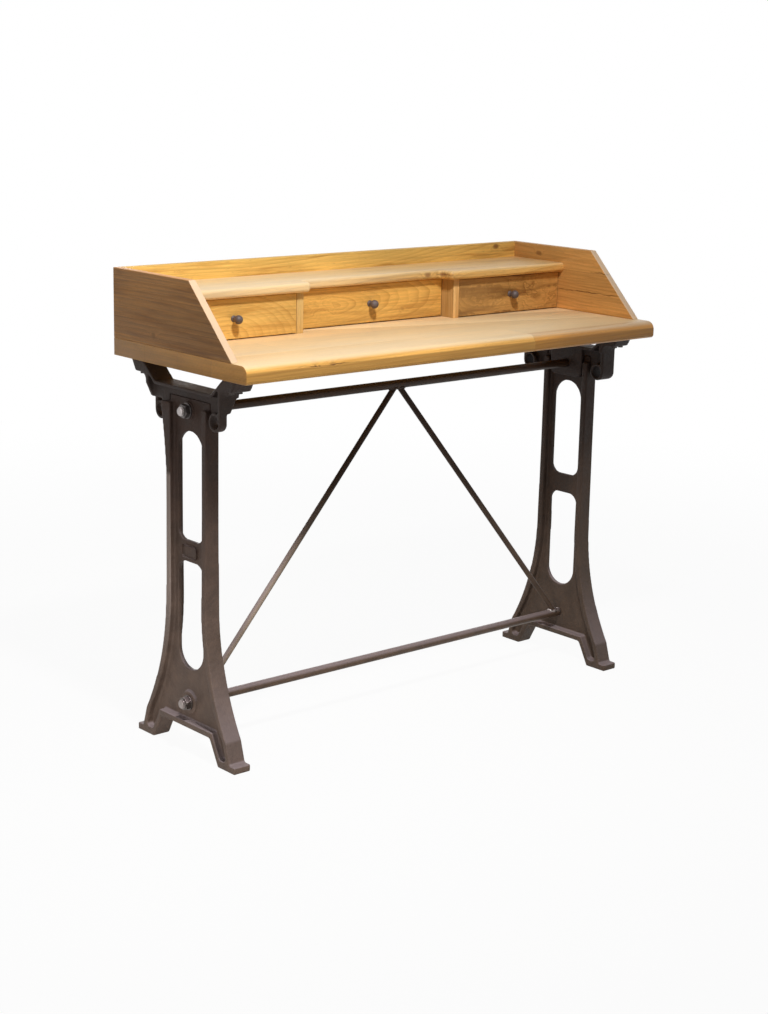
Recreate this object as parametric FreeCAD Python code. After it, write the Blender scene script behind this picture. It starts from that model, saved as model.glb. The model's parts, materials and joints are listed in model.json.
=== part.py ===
import FreeCAD, Part
import math
import os

from FreeCAD import Vector

# Writing desk: a wooden top with a stepped drawer gallery on two cast-iron legs,
# tied by two rods and a pair of diagonal braces. Millimetres, +Z up, +X to the
# right and the back of the desk towards +Y. The origin is on the floor, under
# the middle of the desktop.

# Desktop
desk_width = 1072.0
desk_depth = 425.0
desk_height = 780.0
top_thick = 34.0
top_nose_radius = 17.0
top_under_radius = 7.0

# Gallery: side panels, back, shelf and dividers
board = 16.0
board_edge_radius = 1.5
gallery_height = 134.0
side_foot_depth = 380.0
side_top_depth = 248.0
shelf_height = 101.0
shelf_depth = 154.5
shelf_thick = 19.0
shelf_step = 36.0
shelf_nose_radius = 7.0
shelf_corner_radius = 10.0
shelf_overhang = 15.0
centre_bay = 402.0
divider_shift = 4.5
step_overhang = 14.0

# Drawers
drawer_gap = 1.5
drawer_lift = 2.0
slide_clearance = 0.3
drawer_back_room = 6.0
drawer_front_thick = 15.0
drawer_lip = 7.0
drawer_side_thick = 10.0
drawer_side_drop = 6.0
drawer_floor_thick = 5.0
drawer_floor_rise = 6.0
groove_depth = 5.0
glue_clearance = 0.1

# Knobs
knob_diameter = 17.5
knob_reach = 15.5
knob_neck_diameter = 8.0
knob_rose_diameter = 13.0
knob_rose_thick = 2.5
knob_screw_diameter = 4.0
knob_screw_bite = 11.0
knob_screw_head_diameter = 8.0
knob_screw_head_thick = 2.6

# Leg castings
leg_inset = 30.5
leg_shift = -2.5
leg_depth = 130.0
web_thick = 9.0
flange_thick = 14.5
flange_width = 30.0
flange_taper_height = 480.0
flare_height = 300.0
flare_radius = 485.0
flare_mid_share = 0.55
swell_height = 130.0
swell_reach = 17.0
swell_mid_share = 0.38
swell_gap = 1.0
ankle_height = 54.0
ankle_flange = 11.0
toe_spread = 12.0
foot_width = 38.0
foot_length = 54.0
foot_thick = 14.0
toe_reach = 17.0
arch_height = 50.0
arch_half_width = 80.0
arch_rim = 12.0
arch_radius = 8.0
pocket_radius = 7.0
slot_margin = 10.5
slot_corner_radius = 22.0
slot_end_share = 0.98
slot_top_margin = 40.0
slot_foot_margin = 66.0
bridge_height = 396.0
bridge_depth = 42.0
flange_drop = 69.5
neck_drop = 56.0
neck_margin = 1.5

# Bracket castings on the legs
bracket_shift = 3.0
bracket_width = 38.0
pad_reach = 168.0
pad_draft = 14.0
pad_thick = 24.0
pad_fillet = 15.0
pad_nose_radius = 4.0
trough_depth = 34.5
trough_reach = 90.0
trough_mouth_reach = 129.0
trough_plate = 6.0
cap_over = 6.0
trough_radius = 6.0
end_wall_reach = 119.5
end_wall_thick = 8.0
end_wall_full_drop = 42.0
end_wall_drop = 69.0
end_wall_tip = 6.0
tongue_depth = 50.0
tongue_margin = 4.0
tongue_radius = 14.0
eye_diameter = 36.0
eye_drop = 85.0
eye_thick = 17.0
eye_hole_diameter = 25.0
back_eye_sink = 8.0
gusset_drop = 92.0
gusset_bite = 2.5
gusset_gap = 0.5

# Rods, braces, nuts and washers
rod_diameter = 18.0
thread_diameter = 16.0
bolt_clearance = 0.5
rod_end_chamfer = 1.5
top_rod_drop = 78.0
bottom_rod_height = 97.5
top_boss_diameter = 34.0
bottom_boss_diameter = 46.0
boss_height = 5.5
washer_diameter = 30.0
washer_thick = 3.0
nut_flats = 24.0
nut_thick = 9.5
thread_over = 7.0
brace_diameter = 12.0
brace_end_gap = 10.0
brace_apex_gap = 3.0

# Wood screws, lag screws and dowels
screw_diameter = 4.5
screw_length = 60.0
screw_head_diameter = 9.0
screw_clearance = 0.1
lag_diameter = 6.0
lag_bite = 22.0
lag_head_flats = 10.0
lag_head_thick = 4.0
lag_spacing = 18.0
lag_reach = 142.0
dowel_diameter = 8.0
dowel_length = 30.0
dowel_bite = 10.0

# Places that follow from the sizes above
half_width = desk_width / 2
front_y = -desk_depth / 2
back_y = desk_depth / 2
under_z = desk_height - top_thick
gallery_back_y = back_y - board
inner_x = half_width - board
shelf_top_z = desk_height + shelf_height
shelf_under_z = shelf_top_z - shelf_thick
shelf_front_y = gallery_back_y - shelf_depth
bay_front_y = shelf_front_y + shelf_overhang
divider_x = centre_bay / 2
leg_x = half_width - leg_inset
half_leg = leg_depth / 2
half_web = web_thick / 2
half_flange = flange_width / 2
half_foot = foot_width / 2
half_bracket = bracket_width / 2
flare_run = flare_height - ankle_height
ankle_reach = half_leg + flare_radius - math.sqrt(flare_radius ** 2 - flare_run ** 2)
toe_top_reach = ankle_reach + toe_spread
foot_reach = toe_top_reach + toe_reach
heel_reach = foot_reach - foot_length
top_rod_z = under_z - top_rod_drop
flange_top_z = under_z - flange_drop
neck_top_z = under_z - neck_drop
bolt_hole_radius = thread_diameter / 2 + bolt_clearance


def box(x0, x1, y0, y1, z0, z1):
    return Part.makeBox(x1 - x0, y1 - y0, z1 - z0, Vector(x0, y0, z0))


def rod_along(axis, radius, start, length):
    return Part.makeCylinder(radius, length, Vector(*start), Vector(*axis))


def in_yz(point):
    return Vector(0, point[0], point[1])


def in_xy(point):
    return Vector(point[0], point[1], 0)


def rounded_face(corners, place):
    # Closed outline from (a, b, corner radius) entries; place puts it in its plane.
    edges = []
    first_end = None
    last_end = None
    for index, (a, b, radius) in enumerate(corners):
        corner = Vector(a, b, 0)
        before = Vector(*corners[index - 1][:2], 0) - corner
        after = Vector(*corners[(index + 1) % len(corners)][:2], 0) - corner
        before.normalize()
        after.normalize()
        start = corner
        end = corner
        arc = None
        if radius > 0:
            half_angle = math.acos(max(-1.0, min(1.0, before.dot(after)))) / 2
            cut = radius / math.tan(half_angle)
            bisector = before + after
            bisector.normalize()
            start = corner + before * cut
            end = corner + after * cut
            middle = corner + bisector * (radius / math.sin(half_angle) - radius)
            arc = Part.Arc(place(start), place(middle), place(end)).toShape()
        if last_end is None:
            first_end = start
        elif (start - last_end).Length > 1e-6:
            edges.append(Part.makeLine(place(last_end), place(start)))
        if arc is not None:
            edges.append(arc)
        last_end = end
    if (first_end - last_end).Length > 1e-6:
        edges.append(Part.makeLine(place(last_end), place(first_end)))
    return Part.Face(Part.Wire(edges))


def drawn_face(start, steps):
    # Outline in the YZ plane: a step is a point to go straight to, or a pair of
    # points, the middle and the end of an arc.
    edges = []
    here = in_yz(start)
    for step in steps:
        if isinstance(step[0], tuple):
            there = in_yz(step[1])
            edges.append(Part.Arc(here, in_yz(step[0]), there).toShape())
        else:
            there = in_yz(step)
            edges.append(Part.makeLine(here, there))
        here = there
    return Part.Face(Part.Wire(edges))


def slab(face, x0, x1):
    # A YZ outline given its thickness between two X planes.
    solid = face.extrude(Vector(x1 - x0, 0, 0))
    solid.translate(Vector(x0, 0, 0))
    return solid


def round_edges(solid, radius, wanted):
    edges = [edge for edge in solid.Edges if wanted(edge)]
    return solid.makeFillet(radius, edges)


def runs_along_x(edge):
    return edge.BoundBox.YLength < 1e-6 and edge.BoundBox.ZLength < 1e-6


def flip(shape):
    return shape.mirror(Vector(0, 0, 0), Vector(1, 0, 0))


def hexagon_prism(flats, thick, start, axis):
    # Regular hexagon on a plane square to the axis, extruded along it.
    radius = flats / math.sqrt(3)
    points = [
        Vector(radius * math.cos(math.pi / 3 * k), radius * math.sin(math.pi / 3 * k), 0)
        for k in range(7)
    ]
    prism = Part.Face(Part.makePolygon(points)).extrude(Vector(0, 0, thick))
    turn = FreeCAD.Rotation(Vector(0, 0, 1), Vector(*axis))
    prism.Placement = FreeCAD.Placement(Vector(*start), turn)
    return prism


# Fasteners: where they sit, so that the boards can be bored for them

def panel_screw_places():
    side_x = half_width - board / 2
    side_front_y = back_y - side_foot_depth
    back_board_y = back_y - board / 2
    divider_mid_x = divider_x + board / 2
    bay_depth = gallery_back_y - bay_front_y
    places = []
    for sign in (-1, 1):
        for share in (0.15, 0.45, 0.69):
            places.append((sign * side_x, side_front_y + share * side_foot_depth))
        for share in (0.25, 0.76):
            places.append((sign * share * inner_x, back_board_y))
        for share in (0.25, 0.75):
            places.append((divider_shift + sign * divider_mid_x, bay_front_y + share * bay_depth))
    return places


def lag_places():
    places = []
    for side in (-1, 1):
        for end in (-1, 1):
            for step in (-0.5, 0.5):
                x = side * leg_x + step * lag_spacing
                places.append((x, bracket_shift + end * lag_reach))
    return places


def dowel_places():
    # (start point, axis): each starts dowel_bite deep in the first board.
    shelf_mid_z = shelf_top_z - shelf_thick / 2
    back_mid_y = back_y - board / 2
    divider_mid_x = divider_x + board / 2
    bay_depth = gallery_back_y - bay_front_y
    places = []
    for sign in (-1, 1):
        outer_x = sign * (inner_x + dowel_bite)
        inward = (-sign, 0, 0)
        for share in (0.3, 0.8):
            places.append(((outer_x, bay_front_y + share * bay_depth, shelf_mid_z), inward))
            back_z = desk_height + share * gallery_height
            places.append(((outer_x, back_mid_y, back_z), inward))
            divider_y = bay_front_y + share * bay_depth
            top = shelf_under_z + dowel_bite
            places.append(((divider_shift + sign * divider_mid_x, divider_y, top), (0, 0, -1)))
    return places


def wood_screw(x, y, clearance):
    radius = screw_diameter / 2 + clearance
    head_radius = screw_head_diameter / 2 + clearance
    head_height = head_radius - radius
    shank = rod_along((0, 0, 1), radius, (x, y, under_z), screw_length + clearance)
    head = Part.makeCone(head_radius, radius, head_height, Vector(x, y, under_z))
    return shank.fuse(head).removeSplitter()


def lag_screw(x, y):
    pad_z = under_z - pad_thick
    shank = rod_along((0, 0, 1), lag_diameter / 2, (x, y, pad_z), pad_thick + lag_bite)
    head = hexagon_prism(lag_head_flats, lag_head_thick, (x, y, pad_z - lag_head_thick), (0, 0, 1))
    return shank.fuse(head).removeSplitter()


def lag_hole(x, y, clearance):
    start = (x, y, under_z - pad_thick)
    return rod_along((0, 0, 1), lag_diameter / 2 + clearance, start, pad_thick + lag_bite + clearance)


def dowel(start, axis, clearance):
    # The bore is longer than the dowel by the clearance at both ends.
    direction = Vector(*axis)
    origin = Vector(*start) - direction * clearance
    length = dowel_length + 2 * clearance
    return Part.makeCylinder(dowel_diameter / 2 + clearance, length, origin, direction)


def bored(solid):
    # Cuts every fastener's hole that reaches into a board.
    tools = [wood_screw(x, y, screw_clearance) for x, y in panel_screw_places()]
    tools += [lag_hole(x, y, screw_clearance) for x, y in lag_places()]
    tools += [dowel(start, axis, glue_clearance) for start, axis in dowel_places()]
    reach = solid.BoundBox
    near = [tool for tool in tools if reach.intersect(tool.BoundBox)]
    return solid.cut(Part.makeCompound(near))


# Wood

def make_desktop():
    outline = rounded_face([
        (back_y, under_z, board_edge_radius),
        (front_y, under_z, top_under_radius),
        (front_y, desk_height, top_nose_radius),
        (back_y, desk_height, board_edge_radius),
    ], in_yz)
    return bored(slab(outline, -half_width, half_width))


def make_left_side_panel():
    top_z = desk_height + gallery_height
    outline = rounded_face([
        (back_y, desk_height, 0),
        (back_y - side_foot_depth, desk_height, 0),
        (back_y - side_top_depth, top_z, board_edge_radius),
        (back_y, top_z, board_edge_radius),
    ], in_yz)
    panel = slab(outline, -half_width, -inner_x)

    def exposed(edge):
        middle = edge.BoundBox.Center
        return edge.BoundBox.XLength < 1e-6 and middle.z > desk_height + 1

    return bored(round_edges(panel, board_edge_radius, exposed))


def make_back_panel():
    top_z = desk_height + gallery_height
    panel = box(-inner_x, inner_x, gallery_back_y, back_y, desk_height, top_z)

    def exposed(edge):
        return runs_along_x(edge) and edge.BoundBox.Center.z > top_z - 1

    return bored(round_edges(panel, board_edge_radius, exposed))


def make_shelf():
    step_x = divider_x - step_overhang
    middle_y = shelf_front_y + shelf_step
    corner = shelf_corner_radius
    outline = rounded_face([
        (-inner_x, gallery_back_y, 0),
        (-inner_x, shelf_front_y, 0),
        (-step_x, shelf_front_y, corner),
        (-step_x, middle_y, corner),
        (step_x, middle_y, corner),
        (step_x, shelf_front_y, corner),
        (inner_x, shelf_front_y, 0),
        (inner_x, gallery_back_y, 0),
    ], in_xy)
    shelf = outline.extrude(Vector(0, 0, shelf_thick))
    shelf.translate(Vector(0, 0, shelf_under_z))

    def nose(edge):
        reach = edge.BoundBox
        level = reach.ZLength < 1e-6
        return level and reach.YMax < gallery_back_y - 1 and reach.XMax - reach.XMin > 1e-6 or (
            level and reach.XLength < 1e-6 and abs(reach.XMin) < inner_x - 1)

    return bored(round_edges(shelf, shelf_nose_radius, nose))


def make_divider(left_x):
    panel = box(left_x, left_x + board, bay_front_y, gallery_back_y, desk_height, shelf_under_z)
    return bored(panel)


# Drawers: the box is lapped into the front, and its floor slides in under the back

def make_drawer(x0, x1, bay_y):
    left = x0 + drawer_gap
    right = x1 - drawer_gap
    middle_x = (left + right) / 2
    base_z = desk_height + slide_clearance
    front_base_z = desk_height + drawer_lift
    front_top_z = shelf_under_z - drawer_lift
    side_top_z = shelf_under_z - drawer_side_drop
    lap_y = bay_y + drawer_lip
    inside_y = bay_y + drawer_front_thick
    end_y = gallery_back_y - drawer_back_room
    inside_left = left + drawer_side_thick
    inside_right = right - drawer_side_thick
    floor_z = base_z + drawer_floor_rise
    floor_top_z = floor_z + drawer_floor_thick
    knob_z = (front_base_z + front_top_z) / 2

    floor_slot = box(
        inside_left - groove_depth, inside_right + groove_depth,
        inside_y - groove_depth, end_y,
        floor_z - glue_clearance, floor_top_z + glue_clearance)

    front = box(left, right, bay_y, inside_y, front_base_z, front_top_z)
    front = round_edges(front, board_edge_radius, lambda edge: edge.BoundBox.YMax < bay_y + 1e-6)
    front = front.cut(box(left - 1, inside_left, lap_y, inside_y + 1, base_z - 1, side_top_z))
    front = front.cut(box(inside_right, right + 1, lap_y, inside_y + 1, base_z - 1, side_top_z))
    front = front.cut(floor_slot)
    screw_hole_radius = knob_screw_diameter / 2 + screw_clearance
    hole_start = (middle_x, bay_y - 1, knob_z)
    front = front.cut(rod_along((0, 1, 0), screw_hole_radius, hole_start, drawer_front_thick + 2))

    left_side = box(left, inside_left, lap_y, end_y, base_z, side_top_z).cut(floor_slot)
    right_side = box(inside_right, right, lap_y, end_y, base_z, side_top_z).cut(floor_slot)

    floor = box(
        inside_left - groove_depth + glue_clearance, inside_right + groove_depth - glue_clearance,
        inside_y - groove_depth + glue_clearance, end_y, floor_z, floor_top_z)

    back_y0 = end_y - drawer_side_thick
    back = box(inside_left, inside_right, back_y0, end_y, floor_top_z + glue_clearance, side_top_z)

    return {
        "front": front,
        "side_left": left_side,
        "side_right": right_side,
        "floor": floor,
        "back": back,
        "knob": make_knob(middle_x, bay_y, knob_z),
        "screw": make_knob_screw(middle_x, bay_y, knob_z),
    }


def make_knob(x, y, z):
    # Half profile of (radius, distance in front of the drawer), spun round its axis.
    ball = knob_diameter / 2
    neck = knob_neck_diameter / 2
    rose = knob_rose_diameter / 2
    hole = knob_screw_diameter / 2 + screw_clearance
    neck_end = knob_reach - math.sqrt(ball ** 2 - neck ** 2)
    hole_end = knob_screw_bite + screw_clearance

    def at(radius, distance):
        return Vector(x + radius, y - distance, z)

    edges = [
        Part.makeLine(at(hole, 0), at(rose, 0)),
        Part.makeLine(at(rose, 0), at(rose, knob_rose_thick / 2)),
        Part.makeLine(at(rose, knob_rose_thick / 2), at(neck, knob_rose_thick)),
        Part.makeLine(at(neck, knob_rose_thick), at(neck, neck_end)),
        Part.Arc(at(neck, neck_end), at(ball, knob_reach), at(0, knob_reach + ball)).toShape(),
        Part.makeLine(at(0, knob_reach + ball), at(0, hole_end)),
        Part.makeLine(at(0, hole_end), at(hole, hole_end)),
        Part.makeLine(at(hole, hole_end), at(hole, 0)),
    ]
    return Part.Face(Part.Wire(edges)).revolve(Vector(x, y, z), Vector(0, 1, 0), 360)


def make_knob_screw(x, y, z):
    inside_y = y + drawer_front_thick
    length = drawer_front_thick + knob_screw_bite
    shank = rod_along((0, -1, 0), knob_screw_diameter / 2, (x, inside_y, z), length)
    head_radius = knob_screw_head_diameter / 2
    head = rod_along((0, 1, 0), head_radius, (x, inside_y, z), knob_screw_head_thick)
    head = round_edges(head, knob_screw_head_thick * 0.6, lambda edge: edge.BoundBox.YMin > inside_y + 1)
    return shank.fuse(head).removeSplitter()


# Leg casting, drawn about its own middle plane with the outer face towards -X

def leg_outline():
    # Shaft, flare, toe and foot of one side; the arch between the feet closes it.
    flare_mid_z = flare_height - flare_run * flare_mid_share
    flare_mid_run = flare_height - flare_mid_z
    flare_mid = half_leg + flare_radius - math.sqrt(flare_radius ** 2 - flare_mid_run ** 2)

    def side(sign, points):
        return [
            tuple((leg_shift + sign * p[0], p[1]) for p in point) if isinstance(point[0], tuple)
            else (leg_shift + sign * point[0], point[1])
            for point in points
        ]

    down = side(1, [
        (half_leg, flare_height),
        ((flare_mid, flare_mid_z), (ankle_reach, ankle_height)),
        (toe_top_reach, foot_thick),
        (foot_reach, foot_thick),
        (foot_reach, 0),
        (heel_reach, 0),
        (arch_half_width, arch_height),
    ])
    up = side(-1, [
        (arch_half_width, arch_height),
        (heel_reach, 0),
        (foot_reach, 0),
        (foot_reach, foot_thick),
        (toe_top_reach, foot_thick),
        (ankle_reach, ankle_height),
        ((flare_mid, flare_mid_z), (half_leg, flare_height)),
        (half_leg, flange_top_z),
    ])
    start = (leg_shift + half_leg, flange_top_z)
    return drawn_face(start, down + up + [start])


def pocket_outline():
    # Sunk field of the web: between the flanges, above the arch and into both feet.
    inner = half_leg - flange_thick
    ankle_inner = ankle_reach - ankle_flange
    run = ankle_inner - inner
    bend = (run ** 2 + flare_run ** 2) / (2 * run)
    mid_drop = flare_run * flare_mid_share
    bend_mid = inner + bend - math.sqrt(bend ** 2 - mid_drop ** 2)
    bend_mid_z = flare_height - mid_drop
    toe_z = foot_thick + 2
    toe_inner = toe_top_reach - ankle_flange
    rim_top = arch_height + arch_rim
    side_run = (heel_reach - arch_half_width) / arch_height
    rim_foot = arch_half_width + side_run * (arch_height - toe_z) + arch_rim
    rim_shoulder = arch_half_width + arch_rim / 2
    top_z = neck_top_z + 1

    def at(sign, reach, z):
        return (leg_shift + sign * reach, z)

    steps = [
        at(1, inner, flare_height),
        (at(1, bend_mid, bend_mid_z), at(1, ankle_inner, ankle_height)),
        at(1, toe_inner, toe_z),
        at(1, rim_foot, toe_z),
        at(1, rim_shoulder, rim_top),
        at(-1, rim_shoulder, rim_top),
        at(-1, rim_foot, toe_z),
        at(-1, toe_inner, toe_z),
        at(-1, ankle_inner, ankle_height),
        (at(-1, bend_mid, bend_mid_z), at(-1, inner, flare_height)),
        at(-1, inner, top_z),
        at(1, inner, top_z),
    ]
    return drawn_face(at(1, inner, top_z), steps)


def back_swell():
    # The back flange swells towards its top on the outer side, below the bracket.
    back = leg_shift + half_leg
    inside = back - flange_thick / 2
    low_z = flange_top_z - swell_height
    middle = (back + swell_reach * swell_mid_share, flange_top_z - swell_height / 2)
    outline = drawn_face((back, low_z), [
        (middle, (back + swell_reach, flange_top_z)),
        (inside, flange_top_z),
        (inside, low_z),
        (back, low_z),
    ])
    return slab(outline, -half_flange, -half_web - swell_gap)


def slot_outlines():
    half_slot = half_leg - flange_thick - slot_margin
    bridge_low = bridge_height - bridge_depth / 2
    bridge_high = bridge_height + bridge_depth / 2
    slot_top = top_rod_z - slot_top_margin
    slot_foot = bottom_rod_height + slot_foot_margin
    left = leg_shift - half_slot
    right = leg_shift + half_slot
    corner = slot_corner_radius
    round_end = half_slot * slot_end_share
    upper = rounded_face([
        (left, bridge_high, corner), (right, bridge_high, corner),
        (right, slot_top, round_end), (left, slot_top, round_end)], in_yz)
    lower = rounded_face([
        (left, slot_foot, round_end), (right, slot_foot, round_end),
        (right, bridge_low, corner), (left, bridge_low, corner)], in_yz)
    return upper, lower


def make_leg():
    body = slab(leg_outline(), -half_foot, half_foot)

    def arch_corner(edge):
        middle = edge.BoundBox.Center
        return runs_along_x(edge) and abs(middle.z - arch_height) < 1e-6

    body = round_edges(body, arch_radius, arch_corner)

    # Seen from the front the casting narrows from the feet to the shaft.
    length = body.BoundBox.YLength + 2
    taper = [
        (-half_foot, 0), (half_foot, 0), (half_foot, ankle_height),
        (half_flange, flange_taper_height), (half_flange, flange_top_z),
        (-half_flange, flange_top_z), (-half_flange, flange_taper_height),
        (-half_foot, ankle_height), (-half_foot, 0),
    ]
    front_view = Part.Face(Part.makePolygon([Vector(x, body.BoundBox.YMin - 1, z) for x, z in taper]))
    body = body.common(front_view.extrude(Vector(0, length, 0)))

    pocket = pocket_outline()
    sunk = slab(pocket, half_web, half_foot + 1)
    sunk = round_edges(sunk, pocket_radius, pocket_corner)
    body = body.cut(sunk).cut(flip(sunk))

    # The web stands above the flanges as a neck that carries the bracket.
    neck_half = half_leg - neck_margin
    neck = box(-half_web, half_web, leg_shift - neck_half, leg_shift + neck_half,
               flange_top_z - pocket_radius, neck_top_z)
    body = body.fuse([neck, back_swell()])
    for slot in slot_outlines():
        body = body.cut(slab(slot, -half_foot, half_foot))

    for z, diameter in ((top_rod_z, top_boss_diameter), (bottom_rod_height, bottom_boss_diameter)):
        boss = rod_along((-1, 0, 0), diameter / 2, (-half_web, leg_shift, z), boss_height)
        body = body.fuse(boss)
        hole_start = (-half_foot, leg_shift, z)
        body = body.cut(rod_along((1, 0, 0), bolt_hole_radius, hole_start, foot_width))
    return body.removeSplitter()


def pocket_corner(edge):
    middle = edge.BoundBox.Center
    return runs_along_x(edge) and middle.z < arch_height + arch_rim + 1 and middle.z < ankle_height


# Bracket casting, drawn about the same middle plane

def bracket_cap():
    # Drafted pads under the desktop, the trough between them and the tops of the end walls.
    run = trough_mouth_reach - trough_reach
    length = math.hypot(run, trough_depth)
    shift_y = trough_plate * trough_depth / length
    shift_z = trough_plate * run / length
    slope = trough_depth / run
    wall_inner = end_wall_reach - end_wall_thick
    wall_z = under_z - end_wall_full_drop
    wall_top_z = under_z - shift_z - (trough_mouth_reach + shift_y - wall_inner) * slope
    floor_z = under_z - trough_depth - trough_plate
    floor_reach = trough_mouth_reach + shift_y - (under_z - shift_z - floor_z) / slope
    half = [
        (trough_reach, under_z - trough_depth, trough_radius),
        (trough_mouth_reach, under_z, 0),
        (pad_reach, under_z, 0),
        (pad_reach - pad_draft, under_z - pad_thick, pad_nose_radius),
        (end_wall_reach, under_z - pad_thick, pad_fillet),
        (end_wall_reach, wall_z, 0),
        (wall_inner, wall_z, 0),
        (wall_inner, wall_top_z, 0),
        (floor_reach, floor_z, 0),
    ]
    corners = [(bracket_shift + y, z, r) for y, z, r in half]
    corners += [(bracket_shift - y, z, r) for y, z, r in reversed(half)]
    return slab(rounded_face(corners, in_yz), -half_bracket, half_bracket + cap_over)


def bracket_end(eye_width, drop):
    # Front end wall below the pad: one side of it runs down into an eye, and the
    # rest, where there is any, narrows to a tip at the middle.
    front = bracket_shift - end_wall_reach
    top_z = under_z - end_wall_full_drop
    low_z = under_z - end_wall_drop
    eye_z = under_z - drop
    eye_y = front + eye_diameter / 2
    eye_end = eye_width - half_bracket
    outline = [(-half_bracket, eye_z), (-half_bracket, top_z), (half_bracket, top_z)]
    if eye_width < bracket_width:
        outline += [(end_wall_tip, low_z), (eye_end, low_z)]
    outline += [(eye_end, eye_z), (-half_bracket, eye_z)]
    face = Part.Face(Part.makePolygon([Vector(x, front, z) for x, z in outline]))
    wall = face.extrude(Vector(0, end_wall_thick, 0))
    eye = rod_along((1, 0, 0), eye_diameter / 2, (-half_bracket, eye_y, eye_z), eye_width)
    hole_start = (-half_bracket, eye_y, eye_z)
    hole = rod_along((1, 0, 0), eye_hole_diameter / 2, hole_start, eye_width)
    return wall.fuse(eye).cut(hole)


def make_bracket(eye_width, sink):
    low_z = under_z - end_wall_drop
    cap_z = under_z - trough_depth - trough_plate / 2
    wall_mid = end_wall_reach - end_wall_thick / 2
    front_end = bracket_end(eye_width, eye_drop)
    back_end = bracket_end(eye_width, eye_drop + sink)
    back_end.rotate(Vector(0, bracket_shift, 0), Vector(0, 0, 1), 180)
    body = bracket_cap().fuse([front_end, back_end])

    # Web between the end walls, with a seat cut out for the neck of the leg and a
    # gusset from each eye to the flange beside it.
    eye_inner = end_wall_reach - eye_diameter + gusset_bite
    gusset_z = under_z - gusset_drop
    front_seat = leg_shift - half_leg
    back_seat = leg_shift + half_leg
    web = [
        (bracket_shift - wall_mid, low_z),
        (bracket_shift - eye_inner, low_z),
        (bracket_shift - eye_inner, gusset_z),
        (front_seat - gusset_gap, gusset_z),
        (front_seat - gusset_gap, low_z),
        (front_seat, low_z),
        (front_seat, neck_top_z),
        (back_seat, neck_top_z),
        (back_seat, low_z),
        (back_seat + gusset_gap, low_z),
        (back_seat + gusset_gap, gusset_z),
        (bracket_shift + eye_inner, gusset_z),
        (bracket_shift + eye_inner, low_z),
        (bracket_shift + wall_mid, low_z),
        (bracket_shift + wall_mid, under_z - pad_thick),
        (bracket_shift + trough_reach, cap_z),
        (bracket_shift - trough_reach, cap_z),
        (bracket_shift - wall_mid, under_z - pad_thick),
        (bracket_shift - wall_mid, low_z),
    ]
    web_face = Part.Face(Part.makePolygon([in_yz(point) for point in web]))
    body = body.fuse(slab(web_face, -half_web, half_web))

    # Tongue that laps the inner side of the leg's web, clamped by the rod.
    tongue_half = half_leg - flange_thick - tongue_margin
    tongue_low = neck_top_z - tongue_depth
    tongue = rounded_face([
        (leg_shift - tongue_half, tongue_low, tongue_radius),
        (leg_shift + tongue_half, tongue_low, tongue_radius),
        (leg_shift + tongue_half, cap_z, 0),
        (leg_shift - tongue_half, cap_z, 0)], in_yz)
    body = body.fuse(slab(tongue, half_web, half_web + web_thick))
    hole_start = (-half_bracket, leg_shift, top_rod_z)
    body = body.cut(rod_along((1, 0, 0), bolt_hole_radius, hole_start, bracket_width))
    for x, y in lag_places():
        if x < 0:
            body = body.cut(lag_hole(x + leg_x, y, screw_clearance))
    return body.removeSplitter()


# Rods and what is screwed on them

def make_rod(z, shoulder_x):
    # Turned bar: full size between the legs, thinner threaded ends through them.
    end_x = nut_outer_x() + thread_over
    radius = rod_diameter / 2
    thread = thread_diameter / 2
    profile = [
        (-end_x, 0), (-end_x, thread - rod_end_chamfer), (-end_x + rod_end_chamfer, thread),
        (-shoulder_x, thread), (-shoulder_x, radius), (shoulder_x, radius),
        (shoulder_x, thread), (end_x - rod_end_chamfer, thread),
        (end_x, thread - rod_end_chamfer), (end_x, 0), (-end_x, 0),
    ]
    points = [Vector(x, leg_shift, z + r) for x, r in profile]
    face = Part.Face(Part.makePolygon(points))
    return face.revolve(Vector(0, leg_shift, z), Vector(1, 0, 0), 360)


def seat_outer_x():
    return leg_x + half_web + boss_height


def nut_outer_x():
    return seat_outer_x() + washer_thick + nut_thick


def rod_ends():
    return [(sign, z) for z in (top_rod_z, bottom_rod_height) for sign in (-1, 1)]


def make_washers():
    washers = []
    for sign, z in rod_ends():
        start = (sign * seat_outer_x(), leg_shift, z)
        disc = rod_along((sign, 0, 0), washer_diameter / 2, start, washer_thick)
        washers.append(disc.cut(rod_along((sign, 0, 0), bolt_hole_radius, start, washer_thick)))
    return Part.makeCompound(washers)


def make_nuts():
    nuts = []
    for sign, z in rod_ends():
        start = (sign * (seat_outer_x() + washer_thick), leg_shift, z)
        nut = hexagon_prism(nut_flats, nut_thick, start, (sign, 0, 0))
        dome = Part.makeCone(
            nut_flats / 2 + nut_thick, nut_flats / 2 - nut_thick * 0.05, nut_thick * 1.05,
            Vector(*start), Vector(sign, 0, 0))
        bore = rod_along((sign, 0, 0), thread_diameter / 2 + screw_clearance, start, nut_thick)
        nuts.append(nut.common(dome).cut(bore))
    return Part.makeCompound(nuts)


def make_left_brace():
    top = Vector(-brace_apex_gap / 2, leg_shift, top_rod_z)
    foot_x = -(leg_x - half_web - brace_end_gap)
    foot = Vector(foot_x, leg_shift, bottom_rod_height)
    brace = Part.makeCylinder(brace_diameter / 2, (foot - top).Length, top, foot - top)
    for z in (top_rod_z, bottom_rod_height):
        start = (-half_width, leg_shift, z)
        brace = brace.cut(rod_along((1, 0, 0), rod_diameter / 2, start, desk_width))
    return max(brace.Solids, key=lambda solid: solid.Volume)


def placed_left(shape):
    shape.translate(Vector(-leg_x, 0, 0))
    return shape


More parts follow.
